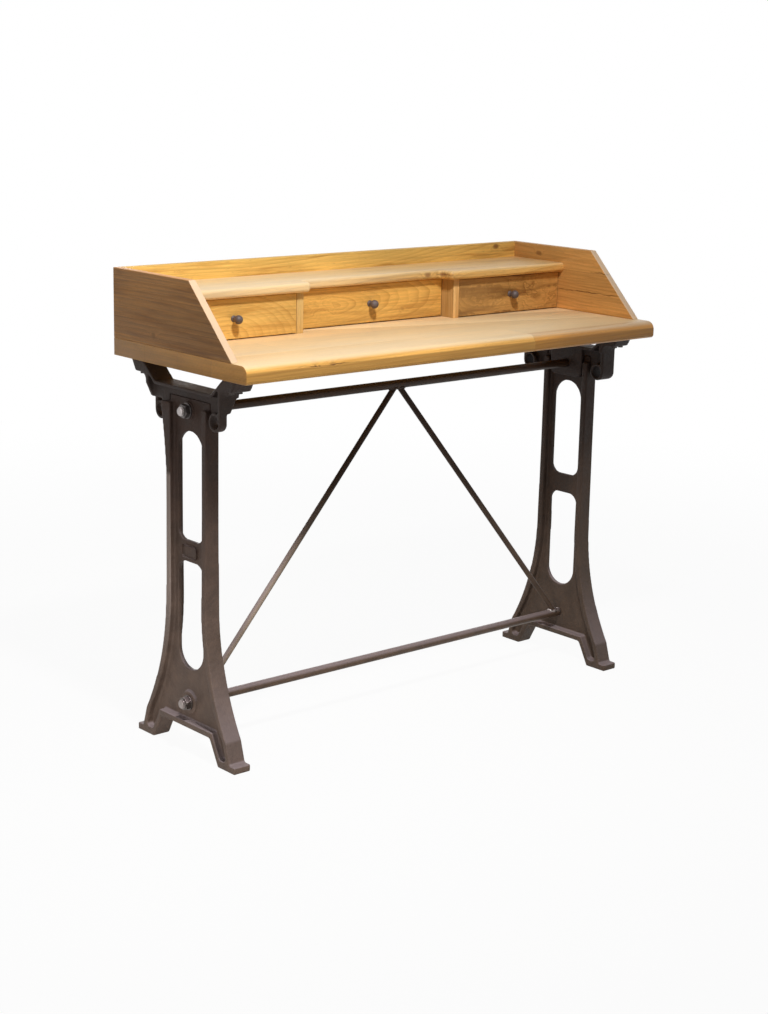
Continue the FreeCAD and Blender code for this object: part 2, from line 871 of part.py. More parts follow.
nodes = {}
nodes["desktop"] = make_desktop()
nodes["side_panel_left"] = make_left_side_panel()
nodes["side_panel_right"] = flip(nodes["side_panel_left"])
nodes["back_panel"] = make_back_panel()
nodes["shelf"] = make_shelf()
nodes["divider_left"] = make_divider(divider_shift - divider_x - board)
nodes["divider_right"] = make_divider(divider_shift + divider_x)

bays = {
    "left": (-inner_x, divider_shift - divider_x - board, bay_front_y),
    "centre": (divider_shift - divider_x, divider_shift + divider_x, bay_front_y + shelf_step),
    "right": (divider_shift + divider_x + board, inner_x, bay_front_y),
}
for bay, (bay_left, bay_right, bay_y) in bays.items():
    for piece, shape in make_drawer(bay_left, bay_right, bay_y).items():
        nodes["drawer_" + bay + "_" + piece] = shape

nodes["leg_left"] = placed_left(make_leg())
nodes["leg_right"] = flip(nodes["leg_left"])
nodes["bracket_left"] = placed_left(make_bracket(eye_thick, back_eye_sink))
nodes["bracket_right"] = flip(placed_left(make_bracket(bracket_width, 0)))
nodes["rod_top"] = make_rod(top_rod_z, leg_x - half_web - web_thick)
nodes["rod_bottom"] = make_rod(bottom_rod_height, leg_x - half_web)
nodes["brace_left"] = make_left_brace()
nodes["brace_right"] = flip(nodes["brace_left"])
nodes["rod_washers"] = make_washers()
nodes["rod_nuts"] = make_nuts()
nodes["bracket_screws"] = Part.makeCompound([lag_screw(x, y) for x, y in lag_places()])
nodes["panel_screws"] = Part.makeCompound([wood_screw(x, y, 0) for x, y in panel_screw_places()])
nodes["panel_dowels"] = Part.makeCompound([dowel(start, axis, 0) for start, axis in dowel_places()])

os.makedirs("parts", exist_ok=True)
for name, shape in nodes.items():
    shape.exportStep("parts/" + name + ".step")
    print(name, len(shape.Solids), "solid(s)", round(shape.Volume), "mm3", "valid", shape.isValid())
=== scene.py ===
import json
import math

import bpy
from mathutils import Matrix, Vector


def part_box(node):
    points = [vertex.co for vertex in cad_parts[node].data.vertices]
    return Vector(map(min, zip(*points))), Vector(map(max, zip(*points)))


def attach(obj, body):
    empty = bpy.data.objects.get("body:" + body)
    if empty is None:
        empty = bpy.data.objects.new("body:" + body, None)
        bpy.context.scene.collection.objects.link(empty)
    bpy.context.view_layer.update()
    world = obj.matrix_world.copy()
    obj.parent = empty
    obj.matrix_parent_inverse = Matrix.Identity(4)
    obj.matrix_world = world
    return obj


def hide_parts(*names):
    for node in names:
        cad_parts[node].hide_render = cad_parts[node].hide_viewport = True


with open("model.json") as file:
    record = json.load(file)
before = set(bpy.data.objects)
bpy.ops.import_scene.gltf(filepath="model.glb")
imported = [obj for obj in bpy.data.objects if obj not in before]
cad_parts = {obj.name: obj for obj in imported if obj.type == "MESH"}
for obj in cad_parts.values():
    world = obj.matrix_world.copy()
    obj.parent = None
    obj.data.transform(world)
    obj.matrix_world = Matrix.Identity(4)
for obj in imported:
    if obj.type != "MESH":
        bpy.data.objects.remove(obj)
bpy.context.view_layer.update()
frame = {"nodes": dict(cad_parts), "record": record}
cadNodes = frame["nodes"]
bodyOf = {
    node: body
    for body, members in frame["record"]["behaviour"]["bodies"].items()
    for node in members
}


# helpers for building shader trees

# noise and chance run from 0 to 1 round this middle
half = 0.5
# sockets of a Mix node that is set to colours
mixInputs = (0, 6, 7)
mixResult = 2


def feed(tree, socket, value):
    if isinstance(value, bpy.types.NodeSocket):
        tree.links.new(value, socket)
    elif value is not None:
        socket.default_value = value


def maths(tree, operation, *values, clamp=False):
    node = tree.nodes.new("ShaderNodeMath")
    node.operation = operation
    node.use_clamp = clamp
    for socket, value in zip(node.inputs, values):
        feed(tree, socket, value)
    return node.outputs[0]


def times(tree, product, *values):
    for value in values:
        product = maths(tree, "MULTIPLY", product, value)
    return product


def vectorMaths(tree, operation, *values, out="Vector"):
    node = tree.nodes.new("ShaderNodeVectorMath")
    node.operation = operation
    for socket, value in zip(node.inputs, values):
        feed(tree, socket, value)
    return node.outputs[out]


def split(tree, vector):
    node = tree.nodes.new("ShaderNodeSeparateXYZ")
    feed(tree, node.inputs[0], vector)
    return node.outputs


def join(tree, x, y, z):
    node = tree.nodes.new("ShaderNodeCombineXYZ")
    for socket, value in zip(node.inputs, (x, y, z)):
        feed(tree, socket, value)
    return node.outputs[0]


def tripled(tree, value):
    return join(tree, value, value, value)


def noise(tree, place, stretch, detail=2.0, rough=0.5):
    node = tree.nodes.new("ShaderNodeTexNoise")
    node.inputs["Scale"].default_value = 1.0
    node.inputs["Detail"].default_value = detail
    node.inputs["Roughness"].default_value = rough
    feed(tree, node.inputs["Vector"], vectorMaths(tree, "MULTIPLY", place, stretch))
    return node.outputs[0]


def centredNoise(tree, place, stretch, detail=2.0, rough=0.5):
    return maths(tree, "SUBTRACT", noise(tree, place, stretch, detail, rough), half)


def ranged(tree, value, low, high, toLow=0.0, toHigh=1.0):
    node = tree.nodes.new("ShaderNodeMapRange")
    node.interpolation_type = "SMOOTHSTEP"
    for socket, number in zip(node.inputs, (value, low, high, toLow, toHigh)):
        feed(tree, socket, number)
    return node.outputs[0]


def aroundOne(tree, value, low, high, reach):
    return ranged(tree, value, low, high, 1.0 - reach, 1.0 + reach)


def blendColour(tree, mask, first, second, mode="MIX"):
    node = tree.nodes.new("ShaderNodeMix")
    node.data_type = "RGBA"
    node.blend_type = mode
    for index, value in zip(mixInputs, (mask, first, second)):
        if isinstance(value, tuple):
            value = (*value, 1.0)
        feed(tree, node.inputs[index], value)
    return node.outputs[mixResult]


def tinted(tree, mask, colour, tint):
    return blendColour(tree, mask, colour, blendColour(tree, 1.0, colour, tint, "MULTIPLY"))


def startGroup(name, ins, outs):
    tree = bpy.data.node_groups.new(name, "ShaderNodeTree")
    for label, kind in ins:
        tree.interface.new_socket(name=label, in_out="INPUT", socket_type="NodeSocket" + kind)
    for label, kind in outs:
        tree.interface.new_socket(name=label, in_out="OUTPUT", socket_type="NodeSocket" + kind)
    return tree, tree.nodes.new("NodeGroupInput").outputs, tree.nodes.new("NodeGroupOutput").inputs


def useGroup(tree, group, values):
    node = tree.nodes.new("ShaderNodeGroup")
    node.node_tree = group
    for label, value in values.items():
        feed(tree, node.inputs[label], value)
    return node.outputs


def startMaterial(name):
    material = bpy.data.materials.new(name)
    material.use_nodes = True
    tree = material.node_tree
    shader = tree.nodes["Principled BSDF"]
    place = tree.nodes.new("ShaderNodeTexCoord").outputs["Object"]
    return material, tree, shader, place


def addBump(tree, shader, height, distance, strength):
    bump = tree.nodes.new("ShaderNodeBump")
    bump.inputs["Strength"].default_value = strength
    bump.inputs["Distance"].default_value = distance
    feed(tree, bump.inputs["Height"], height)
    feed(tree, shader.inputs["Normal"], bump.outputs["Normal"])


# wood: growth rings round a pith line, fibres, pores and a slow change of tone

ringFigure = {
    "seedSteps": (3.1, 1.7, 5.3),
    "broad": (2.6, 10, 10), "broadShare": 2.4, "small": (11, 55, 55), "smallShare": 0.45,
    "latePower": 1.7, "lateEdge": 0.88, "faintest": 0.35,
    "pore": (70, 1700, 1700), "poreRange": (0.6, 0.72), "earlyWidth": 0.55, "latePores": 0.25,
    "fibre": (7, 330, 330), "fibreRough": 0.6, "tone": (2.0, 6, 6),
    "streak": (4.5, 60, 60), "streakRough": 0.62, "streakRange": (0.47, 0.7),
}


def makeRingGroup():
    tree, given, result = startGroup(
        "woodRings",
        [("Grain", "Vector"), ("Pith", "Vector"), ("Slope", "Vector"), ("Gap", "Float"),
         ("Wander", "Float"), ("Push", "Float"), ("Seed", "Float")],
        [("Rings", "Float"), ("Fibre", "Float"), ("Pores", "Float"), ("Tone", "Float"), ("Streak", "Float")],
    )
    seed = given["Seed"]
    shift = join(tree, *[times(tree, seed, step) for step in ringFigure["seedSteps"]])
    place = vectorMaths(tree, "ADD", given["Grain"], shift)
    along, across, through = split(tree, vectorMaths(tree, "SUBTRACT", given["Grain"], given["Pith"]))
    _, slopeAcross, slopeThrough = split(tree, given["Slope"])
    offAcross = maths(tree, "SUBTRACT", across, times(tree, along, slopeAcross))
    offThrough = maths(tree, "SUBTRACT", through, times(tree, along, slopeThrough))
    squares = maths(tree, "ADD", times(tree, offAcross, offAcross), times(tree, offThrough, offThrough))
    broad = centredNoise(tree, place, ringFigure["broad"], detail=1.0)
    small = centredNoise(tree, place, ringFigure["small"])
    sway = maths(tree, "ADD", times(tree, broad, ringFigure["broadShare"]),
                 times(tree, small, ringFigure["smallShare"]))
    sway = times(tree, sway, given["Wander"])
    radius = maths(tree, "ADD", maths(tree, "SQRT", squares), sway)
    radius = maths(tree, "ADD", radius, given["Push"])
    turns = maths(tree, "DIVIDE", radius, given["Gap"])
    ring = maths(tree, "FLOOR", turns)
    inRing = maths(tree, "SUBTRACT", turns, ring)
    chance = tree.nodes.new("ShaderNodeTexWhiteNoise")
    chance.noise_dimensions = "1D"
    feed(tree, chance.inputs["W"], maths(tree, "ADD", ring, seed))
    late = times(tree, maths(tree, "POWER", inRing, ringFigure["latePower"]),
                 ranged(tree, inRing, 1.0, ringFigure["lateEdge"]))
    depth = ranged(tree, chance.outputs["Value"], 0.0, 1.0, ringFigure["faintest"], 1.0)
    fine = noise(tree, place, ringFigure["pore"], detail=1.0)
    early = ranged(tree, inRing, ringFigure["earlyWidth"], 0.0)
    pores = maths(tree, "MULTIPLY", ranged(tree, fine, *ringFigure["poreRange"]),
                  maths(tree, "ADD", early, ringFigure["latePores"]), clamp=True)
    fibre = noise(tree, place, ringFigure["fibre"], detail=3.0, rough=ringFigure["fibreRough"])
    bent = vectorMaths(tree, "ADD", place, join(tree, 0.0, sway, 0.0))
    streak = noise(tree, bent, ringFigure["streak"], detail=3.0, rough=ringFigure["streakRough"])
    feed(tree, result["Rings"], times(tree, late, depth))
    feed(tree, result["Fibre"], fibre)
    feed(tree, result["Pores"], pores)
    feed(tree, result["Tone"], noise(tree, place, ringFigure["tone"]))
    feed(tree, result["Streak"], ranged(tree, streak, *ringFigure["streakRange"]))
    return tree


knotFigure = {
    "squash": (0.6, 1.0, 0.15), "wobble": (60, 90, 90), "wobbleRange": (0.2, 0.8, 0.75, 1.3),
    "fall": -0.22, "push": 2.4, "coreRange": (1.05, 0.55), "rimPlace": 0.95, "rimWidth": 0.22,
}


def makeKnotGroup():
    tree, given, result = startGroup(
        "woodKnot", [("Grain", "Vector"), ("Place", "Vector"), ("Radius", "Float")],
        [("Push", "Float"), ("Core", "Float"), ("Rim", "Float")],
    )
    away = vectorMaths(tree, "SUBTRACT", given["Grain"], given["Place"])
    away = vectorMaths(tree, "MULTIPLY", away, knotFigure["squash"])
    length = vectorMaths(tree, "LENGTH", away, out="Value")
    wobble = ranged(tree, noise(tree, given["Grain"], knotFigure["wobble"]), *knotFigure["wobbleRange"])
    length = maths(tree, "DIVIDE", times(tree, length, wobble), given["Radius"])
    fall = maths(tree, "EXPONENT", times(tree, length, length, knotFigure["fall"]))
    edge = maths(tree, "SUBTRACT", length, knotFigure["rimPlace"])
    edge = maths(tree, "DIVIDE", edge, knotFigure["rimWidth"])
    feed(tree, result["Push"], times(tree, given["Radius"], knotFigure["push"], fall))
    feed(tree, result["Core"], ranged(tree, length, *knotFigure["coreRange"]))
    feed(tree, result["Rim"], maths(tree, "EXPONENT", times(tree, edge, edge, -1.0)))
    return tree


splitFigure = {
    "reach": (0.04, 0.03), "bend": (9, 0, 0), "bendRough": 0.6, "bendShare": 0.028,
    "taper": (0.5, 0.3), "edge": (1.0, 0.2), "gap": (45, 20, 20), "gapRange": (0.35, 0.55, 0.35, 1.0),
}


def makeSplitGroup():
    tree, given, result = startGroup(
        "woodSplit", [("Grain", "Vector"), ("Place", "Vector"), ("Length", "Float"), ("Width", "Float")],
        [("Mask", "Float")],
    )
    grain = given["Grain"]
    along, across, through = split(tree, vectorMaths(tree, "SUBTRACT", grain, given["Place"]))
    near = ranged(tree, maths(tree, "ABSOLUTE", through), *splitFigure["reach"])
    bend = centredNoise(tree, grain, splitFigure["bend"], detail=3.0, rough=splitFigure["bendRough"])
    across = maths(tree, "SUBTRACT", across, times(tree, bend, splitFigure["bendShare"]))
    share = maths(tree, "DIVIDE", maths(tree, "ABSOLUTE", along), given["Length"])
    ends = times(tree, ranged(tree, share, *splitFigure["taper"]), near)
    thin = maths(tree, "DIVIDE", maths(tree, "ABSOLUTE", across), given["Width"])
    broken = ranged(tree, noise(tree, grain, splitFigure["gap"]), *splitFigure["gapRange"])
    feed(tree, result["Mask"], times(tree, ranged(tree, thin, *splitFigure["edge"]), ends, broken))
    return tree


plankFigure = {"rowStep": 0.37, "shift": (0.9, 0.16, 0.06), "seam": (0.0009, 0.0002)}


def makePlankGroup():
    tree, given, result = startGroup(
        "woodPlanks",
        [("Grain", "Vector"), ("Edge", "Float"), ("Width", "Float"), ("Joint", "Float"),
         ("Length", "Float"), ("Seed", "Float")],
        [("Shift", "Vector"), ("Tone", "Float"), ("Seam", "Float")],
    )
    along, across, _ = split(tree, given["Grain"])
    rows = maths(tree, "DIVIDE", maths(tree, "SUBTRACT", across, given["Edge"]), given["Width"])
    row = maths(tree, "FLOOR", rows)
    columns = maths(tree, "DIVIDE", maths(tree, "SUBTRACT", along, given["Joint"]), given["Length"])
    columns = maths(tree, "ADD", columns, times(tree, row, plankFigure["rowStep"]))
    column = maths(tree, "FLOOR", columns)
    chance = tree.nodes.new("ShaderNodeTexWhiteNoise")
    chance.noise_dimensions = "3D"
    feed(tree, chance.inputs["Vector"], join(tree, row, column, given["Seed"]))
    centred = vectorMaths(tree, "SUBTRACT", chance.outputs["Color"], (half, half, half))
    toEdges = []
    for count, whole, size in ((rows, row, given["Width"]), (columns, column, given["Length"])):
        offMiddle = maths(tree, "SUBTRACT", maths(tree, "SUBTRACT", count, whole), half)
        toEdge = maths(tree, "SUBTRACT", half, maths(tree, "ABSOLUTE", offMiddle))
        toEdges.append(times(tree, toEdge, size))
    feed(tree, result["Shift"], vectorMaths(tree, "MULTIPLY", centred, plankFigure["shift"]))
    feed(tree, result["Tone"], chance.outputs["Value"])
    feed(tree, result["Seam"], ranged(tree, maths(tree, "MINIMUM", *toEdges), *plankFigure["seam"]))
    return tree


ringGroup = makeRingGroup()
knotGroup = makeKnotGroup()
splitGroup = makeSplitGroup()
plankGroup = makePlankGroup()

# how strongly the figure shows as darkness, relief and gloss, and where the patches begin
woodFigure = {
    "figureRange": (0.25, 0.75), "poreRelief": -0.6, "fibreRelief": 0.35, "ringRelief": 0.3,
    "seamDark": 0.45, "splitRelief": 2.0, "rimDark": 0.45, "rimRelief": 0.8,
    # where the painted highlight on slanted faces and the painted sheen on faces turned up begin
    "slantFront": (-0.3, -0.6), "slantUp": (0.2, 0.4), "slantShare": 0.8, "topSheenFull": 0.9,
    "patchEdge": 0.0015, "endFacing": (0.6, 0.9),
    "sawn": (3.0, 9.0, 240.0), "sawnRough": 0.6, "sawnRange": (0.25, 0.75, 0.82, 1.16),
    "glossRange": (0.2, 0.8), "smoother": 0.06, "rougher": 0.1, "darkRough": 0.2,
    "bump": 0.0004, "bumpStrength": 0.6,
}


def turnedTo(tree, parts, axes):
    return join(tree, *[parts[axis] for axis in axes])


def findKnots(tree, parts, knots):
    push, core, rim = 0.0, None, None
    for axes, spot, radius, depth in knots:
        grain = turnedTo(tree, parts, axes)
        knot = useGroup(tree, knotGroup, {"Grain": grain, "Place": spot, "Radius": radius})
        knotCore = times(tree, knot["Core"], depth)
        knotRim = times(tree, knot["Rim"], depth)
        push = knot["Push"] if core is None else maths(tree, "ADD", push, knot["Push"])
        rim = knotRim if core is None else maths(tree, "MAXIMUM", rim, knotRim)
        core = knotCore if core is None else maths(tree, "MAXIMUM", core, knotCore)
    return push, core, rim


# other colours by the way a face looks or by its place on the board: a painted sheen on faces turned up, a
# painted highlight on slanted faces, painted light on one side of a board and painted shade on faces turned
# sideways, beside the wood's own end grain and a browner plank
def addPatches(tree, place, parts, colour, look):
    facing = split(tree, tree.nodes.new("ShaderNodeNewGeometry").outputs["True Normal"])
    # painted highlight: faces turned to the front and up are mixed towards a pale colour, as though they
    # catch the light
    if "slantHighlightColour" in look:
        slantHighlight = times(tree, ranged(tree, facing[1], *woodFigure["slantFront"]),
                        ranged(tree, facing[2], *woodFigure["slantUp"]), woodFigure["slantShare"])
        colour = blendColour(tree, slantHighlight, colour, look["slantHighlightColour"])
    # painted sheen: faces turned up are mixed towards a paler colour, standing for the reflection of a
    # bright sky
    if "topSheenColour" in look:
        sheenedTop = ranged(tree, facing[2], look["topSheenFrom"], woodFigure["topSheenFull"], 0.0, look["topSheenShare"])
        colour = blendColour(tree, sheenedTop, colour, look["topSheenColour"])
    if "browned" in look:
        patch = look["browned"]
        beyond = ranged(tree, parts["x"], patch["from"], patch["from"] + woodFigure["patchEdge"])
        front = ranged(tree, parts["y"], patch["back"], patch["back"] - woodFigure["patchEdge"])
        colour = tinted(tree, times(tree, beyond, front), colour, patch["tint"])
    # painted light: a board is mixed towards a paler colour on the side nearer the lamp, as though more
    # light falls there
    if "paintedLitSide" in look:
        patch = look["paintedLitSide"]
        litSideShare = ranged(tree, parts["x"], patch["from"], patch["to"], 0.0, patch["share"])
        colour = blendColour(tree, litSideShare, colour, patch["colour"])
    ends = ranged(tree, maths(tree, "ABSOLUTE", facing[0]), *woodFigure["endFacing"])
    # painted shade: faces turned sideways are darkened, as though they lie in shade
    if "sideShadeTint" in look:
        colour = tinted(tree, ends, colour, look["sideShadeTint"])
    if "endColour" in look:
        sawn = noise(tree, place, woodFigure["sawn"], detail=3.0, rough=woodFigure["sawnRough"])
        sawn = ranged(tree, sawn, *woodFigure["sawnRange"])
        sawn = blendColour(tree, 1.0, tripled(tree, sawn), look["endColour"], "MULTIPLY")
        colour = blendColour(tree, ends, colour, blendColour(tree, look["endShare"], colour, sawn))
    return colour


def makeWood(name, look):
    material, tree, shader, place = startMaterial(name)
    parts = dict(zip("xyz", split(tree, place)))
    grain = turnedTo(tree, parts, look["axes"])
    planks = look.get("planks")
    boards = None
    if planks:
        boards = useGroup(tree, plankGroup, {
            "Grain": grain, "Edge": planks["edge"], "Width": planks["width"],
            "Joint": planks["joint"], "Length": planks["length"], "Seed": look["seed"],
        })
        grain = vectorMaths(tree, "ADD", grain, boards["Shift"])
    push, core, rim = findKnots(tree, parts, look.get("knots", []))
    wood = useGroup(tree, ringGroup, {
        "Grain": grain, "Pith": look["pith"], "Slope": look["slope"], "Gap": look["gap"],
        "Wander": look["wander"], "Push": push, "Seed": look["seed"],
    })
    ringMask = maths(tree, "MULTIPLY", wood["Rings"], look["ringStrength"], clamp=True)
    colour = blendColour(tree, ringMask, look["pale"], look["deep"])
    streak = times(tree, wood["Streak"], look["streakStrength"])
    colour = blendColour(tree, streak, colour, look["deep"])
    shade = times(tree, aroundOne(tree, wood["Tone"], *woodFigure["figureRange"], look["toneStrength"]),
                  aroundOne(tree, wood["Fibre"], *woodFigure["figureRange"], look["fibreStrength"]))
    dark = times(tree, wood["Pores"], look["poreStrength"])
    height = times(tree, wood["Pores"], woodFigure["poreRelief"])
    height = maths(tree, "ADD", height, times(tree, wood["Fibre"], woodFigure["fibreRelief"]))
    height = maths(tree, "ADD", height, times(tree, wood["Rings"], woodFigure["ringRelief"]))
    if boards is not None:
        shade = times(tree, shade, aroundOne(tree, boards["Tone"], 0.0, 1.0, planks["tone"]))
        dark = maths(tree, "MAXIMUM", dark, times(tree, boards["Seam"], woodFigure["seamDark"]))
        height = maths(tree, "SUBTRACT", height, boards["Seam"])
    colour = blendColour(tree, 1.0, colour, tripled(tree, shade), "MULTIPLY")
    for axes, spot, length, width in look.get("splits", []):
        line = useGroup(tree, splitGroup, {
            "Grain": turnedTo(tree, parts, axes), "Place": spot, "Length": length, "Width": width,
        })
        dark = maths(tree, "MAXIMUM", dark, line["Mask"])
        height = maths(tree, "SUBTRACT", height, times(tree, line["Mask"], woodFigure["splitRelief"]))
    if core is not None:
        colour = blendColour(tree, core, colour, look["knotColour"])
        dark = maths(tree, "MAXIMUM", dark, times(tree, rim, woodFigure["rimDark"]))
        height = maths(tree, "SUBTRACT", height, times(tree, rim, woodFigure["rimRelief"]))
    colour = blendColour(tree, dark, colour, look["poreColour"])
    feed(tree, shader.inputs["Base Color"], addPatches(tree, place, parts, colour, look))
    gloss = ranged(tree, wood["Fibre"], *woodFigure["glossRange"],
                   look["roughness"] - woodFigure["smoother"], look["roughness"] + woodFigure["rougher"])
    gloss = maths(tree, "ADD", gloss, times(tree, dark, woodFigure["darkRough"]))
    feed(tree, shader.inputs["Roughness"], gloss)
    shader.inputs["Specular IOR Level"].default_value = look["specular"]
    addBump(tree, shader, height, woodFigure["bump"], woodFigure["bumpStrength"])
    return material


# iron: sand-cast skin under thin dark paint; the paint is darker higher up and lighter towards the floor,
# which is painted shade under the desk top, and faces turned up near the floor get a painted highlight

castFigure = {
    "grain": (1.0, 1.0, 1.0), "grainRough": 0.65, "lump": (0.16, 0.16, 0.16), "lumpShare": 1.6,
    "pitScale": 0.35, "pitRange": (0.22, 0.05), "pitDepth": 0.35,
    "mottle": (0.03, 0.03, 0.03), "mottleRough": 0.6, "speckRange": (0.56, 0.72),
}
ironFigure = {
    # where the painted highlight on faces turned up begins
    "mottleRange": (0.3, 0.7), "paintedUpLightFacing": (0.12, 0.8),
    # how the painted lit strip on a leg's outer edge fades
    "litStripEdge": 0.0006, "litStripDepth": 0.02, "litStripFade": 0.012,
    "glossRange": (0.25, 0.75), "smoother": 0.07, "rougher": 0.08, "bumpStrength": 0.8,
}


def makeCastGroup():
    tree, given, result = startGroup(
        "castSkin", [("Place", "Vector"), ("Grit", "Float")],
        [("Height", "Float"), ("Mottle", "Float"), ("Speck", "Float")],
    )
    scaled = vectorMaths(tree, "MULTIPLY", given["Place"], tripled(tree, given["Grit"]))
    grains = noise(tree, scaled, castFigure["grain"], detail=4.0, rough=castFigure["grainRough"])
    lumps = noise(tree, scaled, castFigure["lump"])
    mottle = noise(tree, scaled, castFigure["mottle"], detail=3.0, rough=castFigure["mottleRough"])
    pits = tree.nodes.new("ShaderNodeTexVoronoi")
    pits.inputs["Scale"].default_value = castFigure["pitScale"]
    feed(tree, pits.inputs["Vector"], scaled)
    pit = ranged(tree, pits.outputs["Distance"], *castFigure["pitRange"])
    height = maths(tree, "ADD", grains, times(tree, lumps, castFigure["lumpShare"]))
    height = maths(tree, "SUBTRACT", height, times(tree, pit, castFigure["pitDepth"]))
    feed(tree, result["Height"], height)
    feed(tree, result["Mottle"], mottle)
    feed(tree, result["Speck"], ranged(tree, grains, *castFigure["speckRange"]))
    return tree


castGroup = makeCastGroup()


# painted light: a lighter strip along the outer edge of a leg, below the height where the desk top's shadow
# ends
def findLitStrip(tree, place, speck, strip):
    across, depth, height = split(tree, place)
    outer = maths(tree, "ABSOLUTE", across)
    return times(
        tree,
        ranged(tree, outer, strip["from"], strip["from"] + ironFigure["litStripEdge"]),
        ranged(tree, depth, 0.0, ironFigure["litStripDepth"]),
        ranged(tree, height, strip["top"], strip["top"] - ironFigure["litStripFade"]),
        ranged(tree, height, strip["foot"], strip["full"]),
        ranged(tree, speck, 0.0, 1.0, strip["share"], 1.0),
    )


def makeIron(name, look):
    material, tree, shader, place = startMaterial(name)
    skin = useGroup(tree, castGroup, {"Place": place, "Grit": look["grit"]})
    # painted shade: the paint runs from the lower colour near the floor to the upper colour higher up,
    # darker where the desk top shades the iron
    low = ranged(tree, split(tree, place)[2], look["shadeTop"], look["shadeFoot"])
    paint = blendColour(tree, low, look["upper"], look["lower"])
    mottle = aroundOne(tree, skin["Mottle"], *ironFigure["mottleRange"], look["mottle"])
    paint = blendColour(tree, 1.0, paint, tripled(tree, mottle), "MULTIPLY")
    paint = blendColour(tree, times(tree, skin["Speck"], look["speck"]), paint, look["bare"])
    # painted highlight: faces turned up near the floor are mixed towards a paler colour, as though they
    # catch light from above
    facing = split(tree, tree.nodes.new("ShaderNodeNewGeometry").outputs["Normal"])
    paintedUpLit = ranged(tree, facing[2], *ironFigure["paintedUpLightFacing"], 0.0, look["paintedUpLight"])
    paint = blendColour(tree, times(tree, paintedUpLit, low), paint, look["paintedUpLightColour"])
    # painted light: a lighter speckled strip on the outer edge, standing for light that reaches it below the
    # desk top's shadow
    if "paintedLitStrip" in look:
        litStrip = findLitStrip(tree, place, skin["Speck"], look["paintedLitStrip"])
        paint = blendColour(tree, litStrip, paint, look["paintedLitStrip"]["colour"])
    feed(tree, shader.inputs["Base Color"], paint)
    gloss = ranged(tree, skin["Mottle"], *ironFigure["glossRange"],
                   look["gloss"] - ironFigure["smoother"], look["gloss"] + ironFigure["rougher"])
    feed(tree, shader.inputs["Roughness"], gloss)
    shader.inputs["Metallic"].default_value = look["metallic"]
    shader.inputs["Specular IOR Level"].default_value = look["specular"]
    addBump(tree, shader, skin["Height"], look["bump"], ironFigure["bumpStrength"])
    return material


print("shader groups made:", len(bpy.data.node_groups))


# what every wood finish starts from
woodBasis = {
    "pale": (0.76, 0.46, 0.125), "deep": (0.45, 0.215, 0.045),
    "slope": (0.0, 0.0, 0.02), "gap": 0.0065, "wander": 0.006, "ringStrength": 0.68,
    "toneStrength": 0.18, "fibreStrength": 0.13, "streakStrength": 0.55, "poreStrength": 0.5,
    "poreColour": (0.17, 0.075, 0.02), "knotColour": (0.24, 0.1, 0.03),
    "seed": 1.0, "roughness": 0.46, "specular": 0.25,
}

# a knot has the axes of its plane, place, radius and depth, and with depth 0 it only bends the rings
# a split has the axes of its plane, place, length and width
desktopLook = {
    **woodBasis, "axes": "xyz", "pale": (0.95, 0.515, 0.128), "deep": (0.74, 0.35, 0.078),
    "pith": (0.0, -0.55, 0.3), "slope": (0.0, 0.02, 0.03), "gap": 0.0075, "seed": 3.0,
    "streakStrength": 0.5, "roughness": 0.36,
    "planks": {"edge": -0.2125, "width": 0.1065, "joint": 0.18, "length": 1.45, "tone": 0.05},
    "knots": [
        ("xzy", (-0.38, 0.775, -0.208), 0.0045, 0.2), ("xzy", (-0.34, 0.768, -0.2115), 0.0042, 0.55),
        ("xzy", (-0.381, 0.7685, -0.2115), 0.0018, 0.6), ("xzy", (-0.372, 0.7672, -0.212), 0.0016, 0.6),
    ],
    "splits": [
        ("xzy", (-0.395, 0.7672, -0.212), 0.06, 0.001),
        ("xzy", (-0.345, 0.7672, -0.212), 0.11, 0.0011),
    ],
    "endColour": (0.5, 0.23, 0.062), "endShare": 0.75,
    # painted sheen: the top is paler, as though it reflects a bright sky
    "topSheenColour": (0.82, 0.73, 0.52), "topSheenShare": 0.56, "topSheenFrom": 0.5,
    "browned": {"from": 0.18, "back": -0.186, "tint": (0.84, 0.75, 0.68)},
}
shelfLook = {
    **woodBasis, "axes": "xyz", "pale": (0.84, 0.5, 0.157), "deep": (0.48, 0.235, 0.06),
    "pith": (0.1, -0.3, 0.62), "slope": (0.0, 0.03, 0.05), "seed": 8.0,
    "streakStrength": 0.9, "fibreStrength": 0.2, "roughness": 0.36,
    # painted sheen: the top is paler, as though it reflects a bright sky
    "topSheenColour": (0.88, 0.7, 0.44), "topSheenShare": 0.3, "topSheenFrom": 0.1,
    # painted light: paler towards the left end, where the lamp is nearer
    "paintedLitSide": {"from": 0.24, "to": -0.22, "colour": (0.95, 0.78, 0.51), "share": 0.48},
    "knots": [("xzy", (0.15, 0.872, 0.08), 0.0055, 0.8), ("xzy", (0.192, 0.872, 0.075), 0.005, 1.0)],
    "splits": [("xzy", (0.193, 0.87, 0.0785), 0.05, 0.0012)],
}
sideLeftLook = {
    **woodBasis, "axes": "yzx", "pale": (0.61, 0.3, 0.102), "deep": (0.35, 0.147, 0.039),
    # a painted highlight on the slanted front edge
    "pith": (0.05, 0.6, -0.4), "seed": 5.0, "gap": 0.008, "slantHighlightColour": (0.84, 0.62, 0.42),
    "toneStrength": 0.24, "streakStrength": 0.9, "ringStrength": 0.95, "fibreStrength": 0.2,
    "knots": [("yzx", (0.077, 0.8, -0.536), 0.004, 0.5)],
}
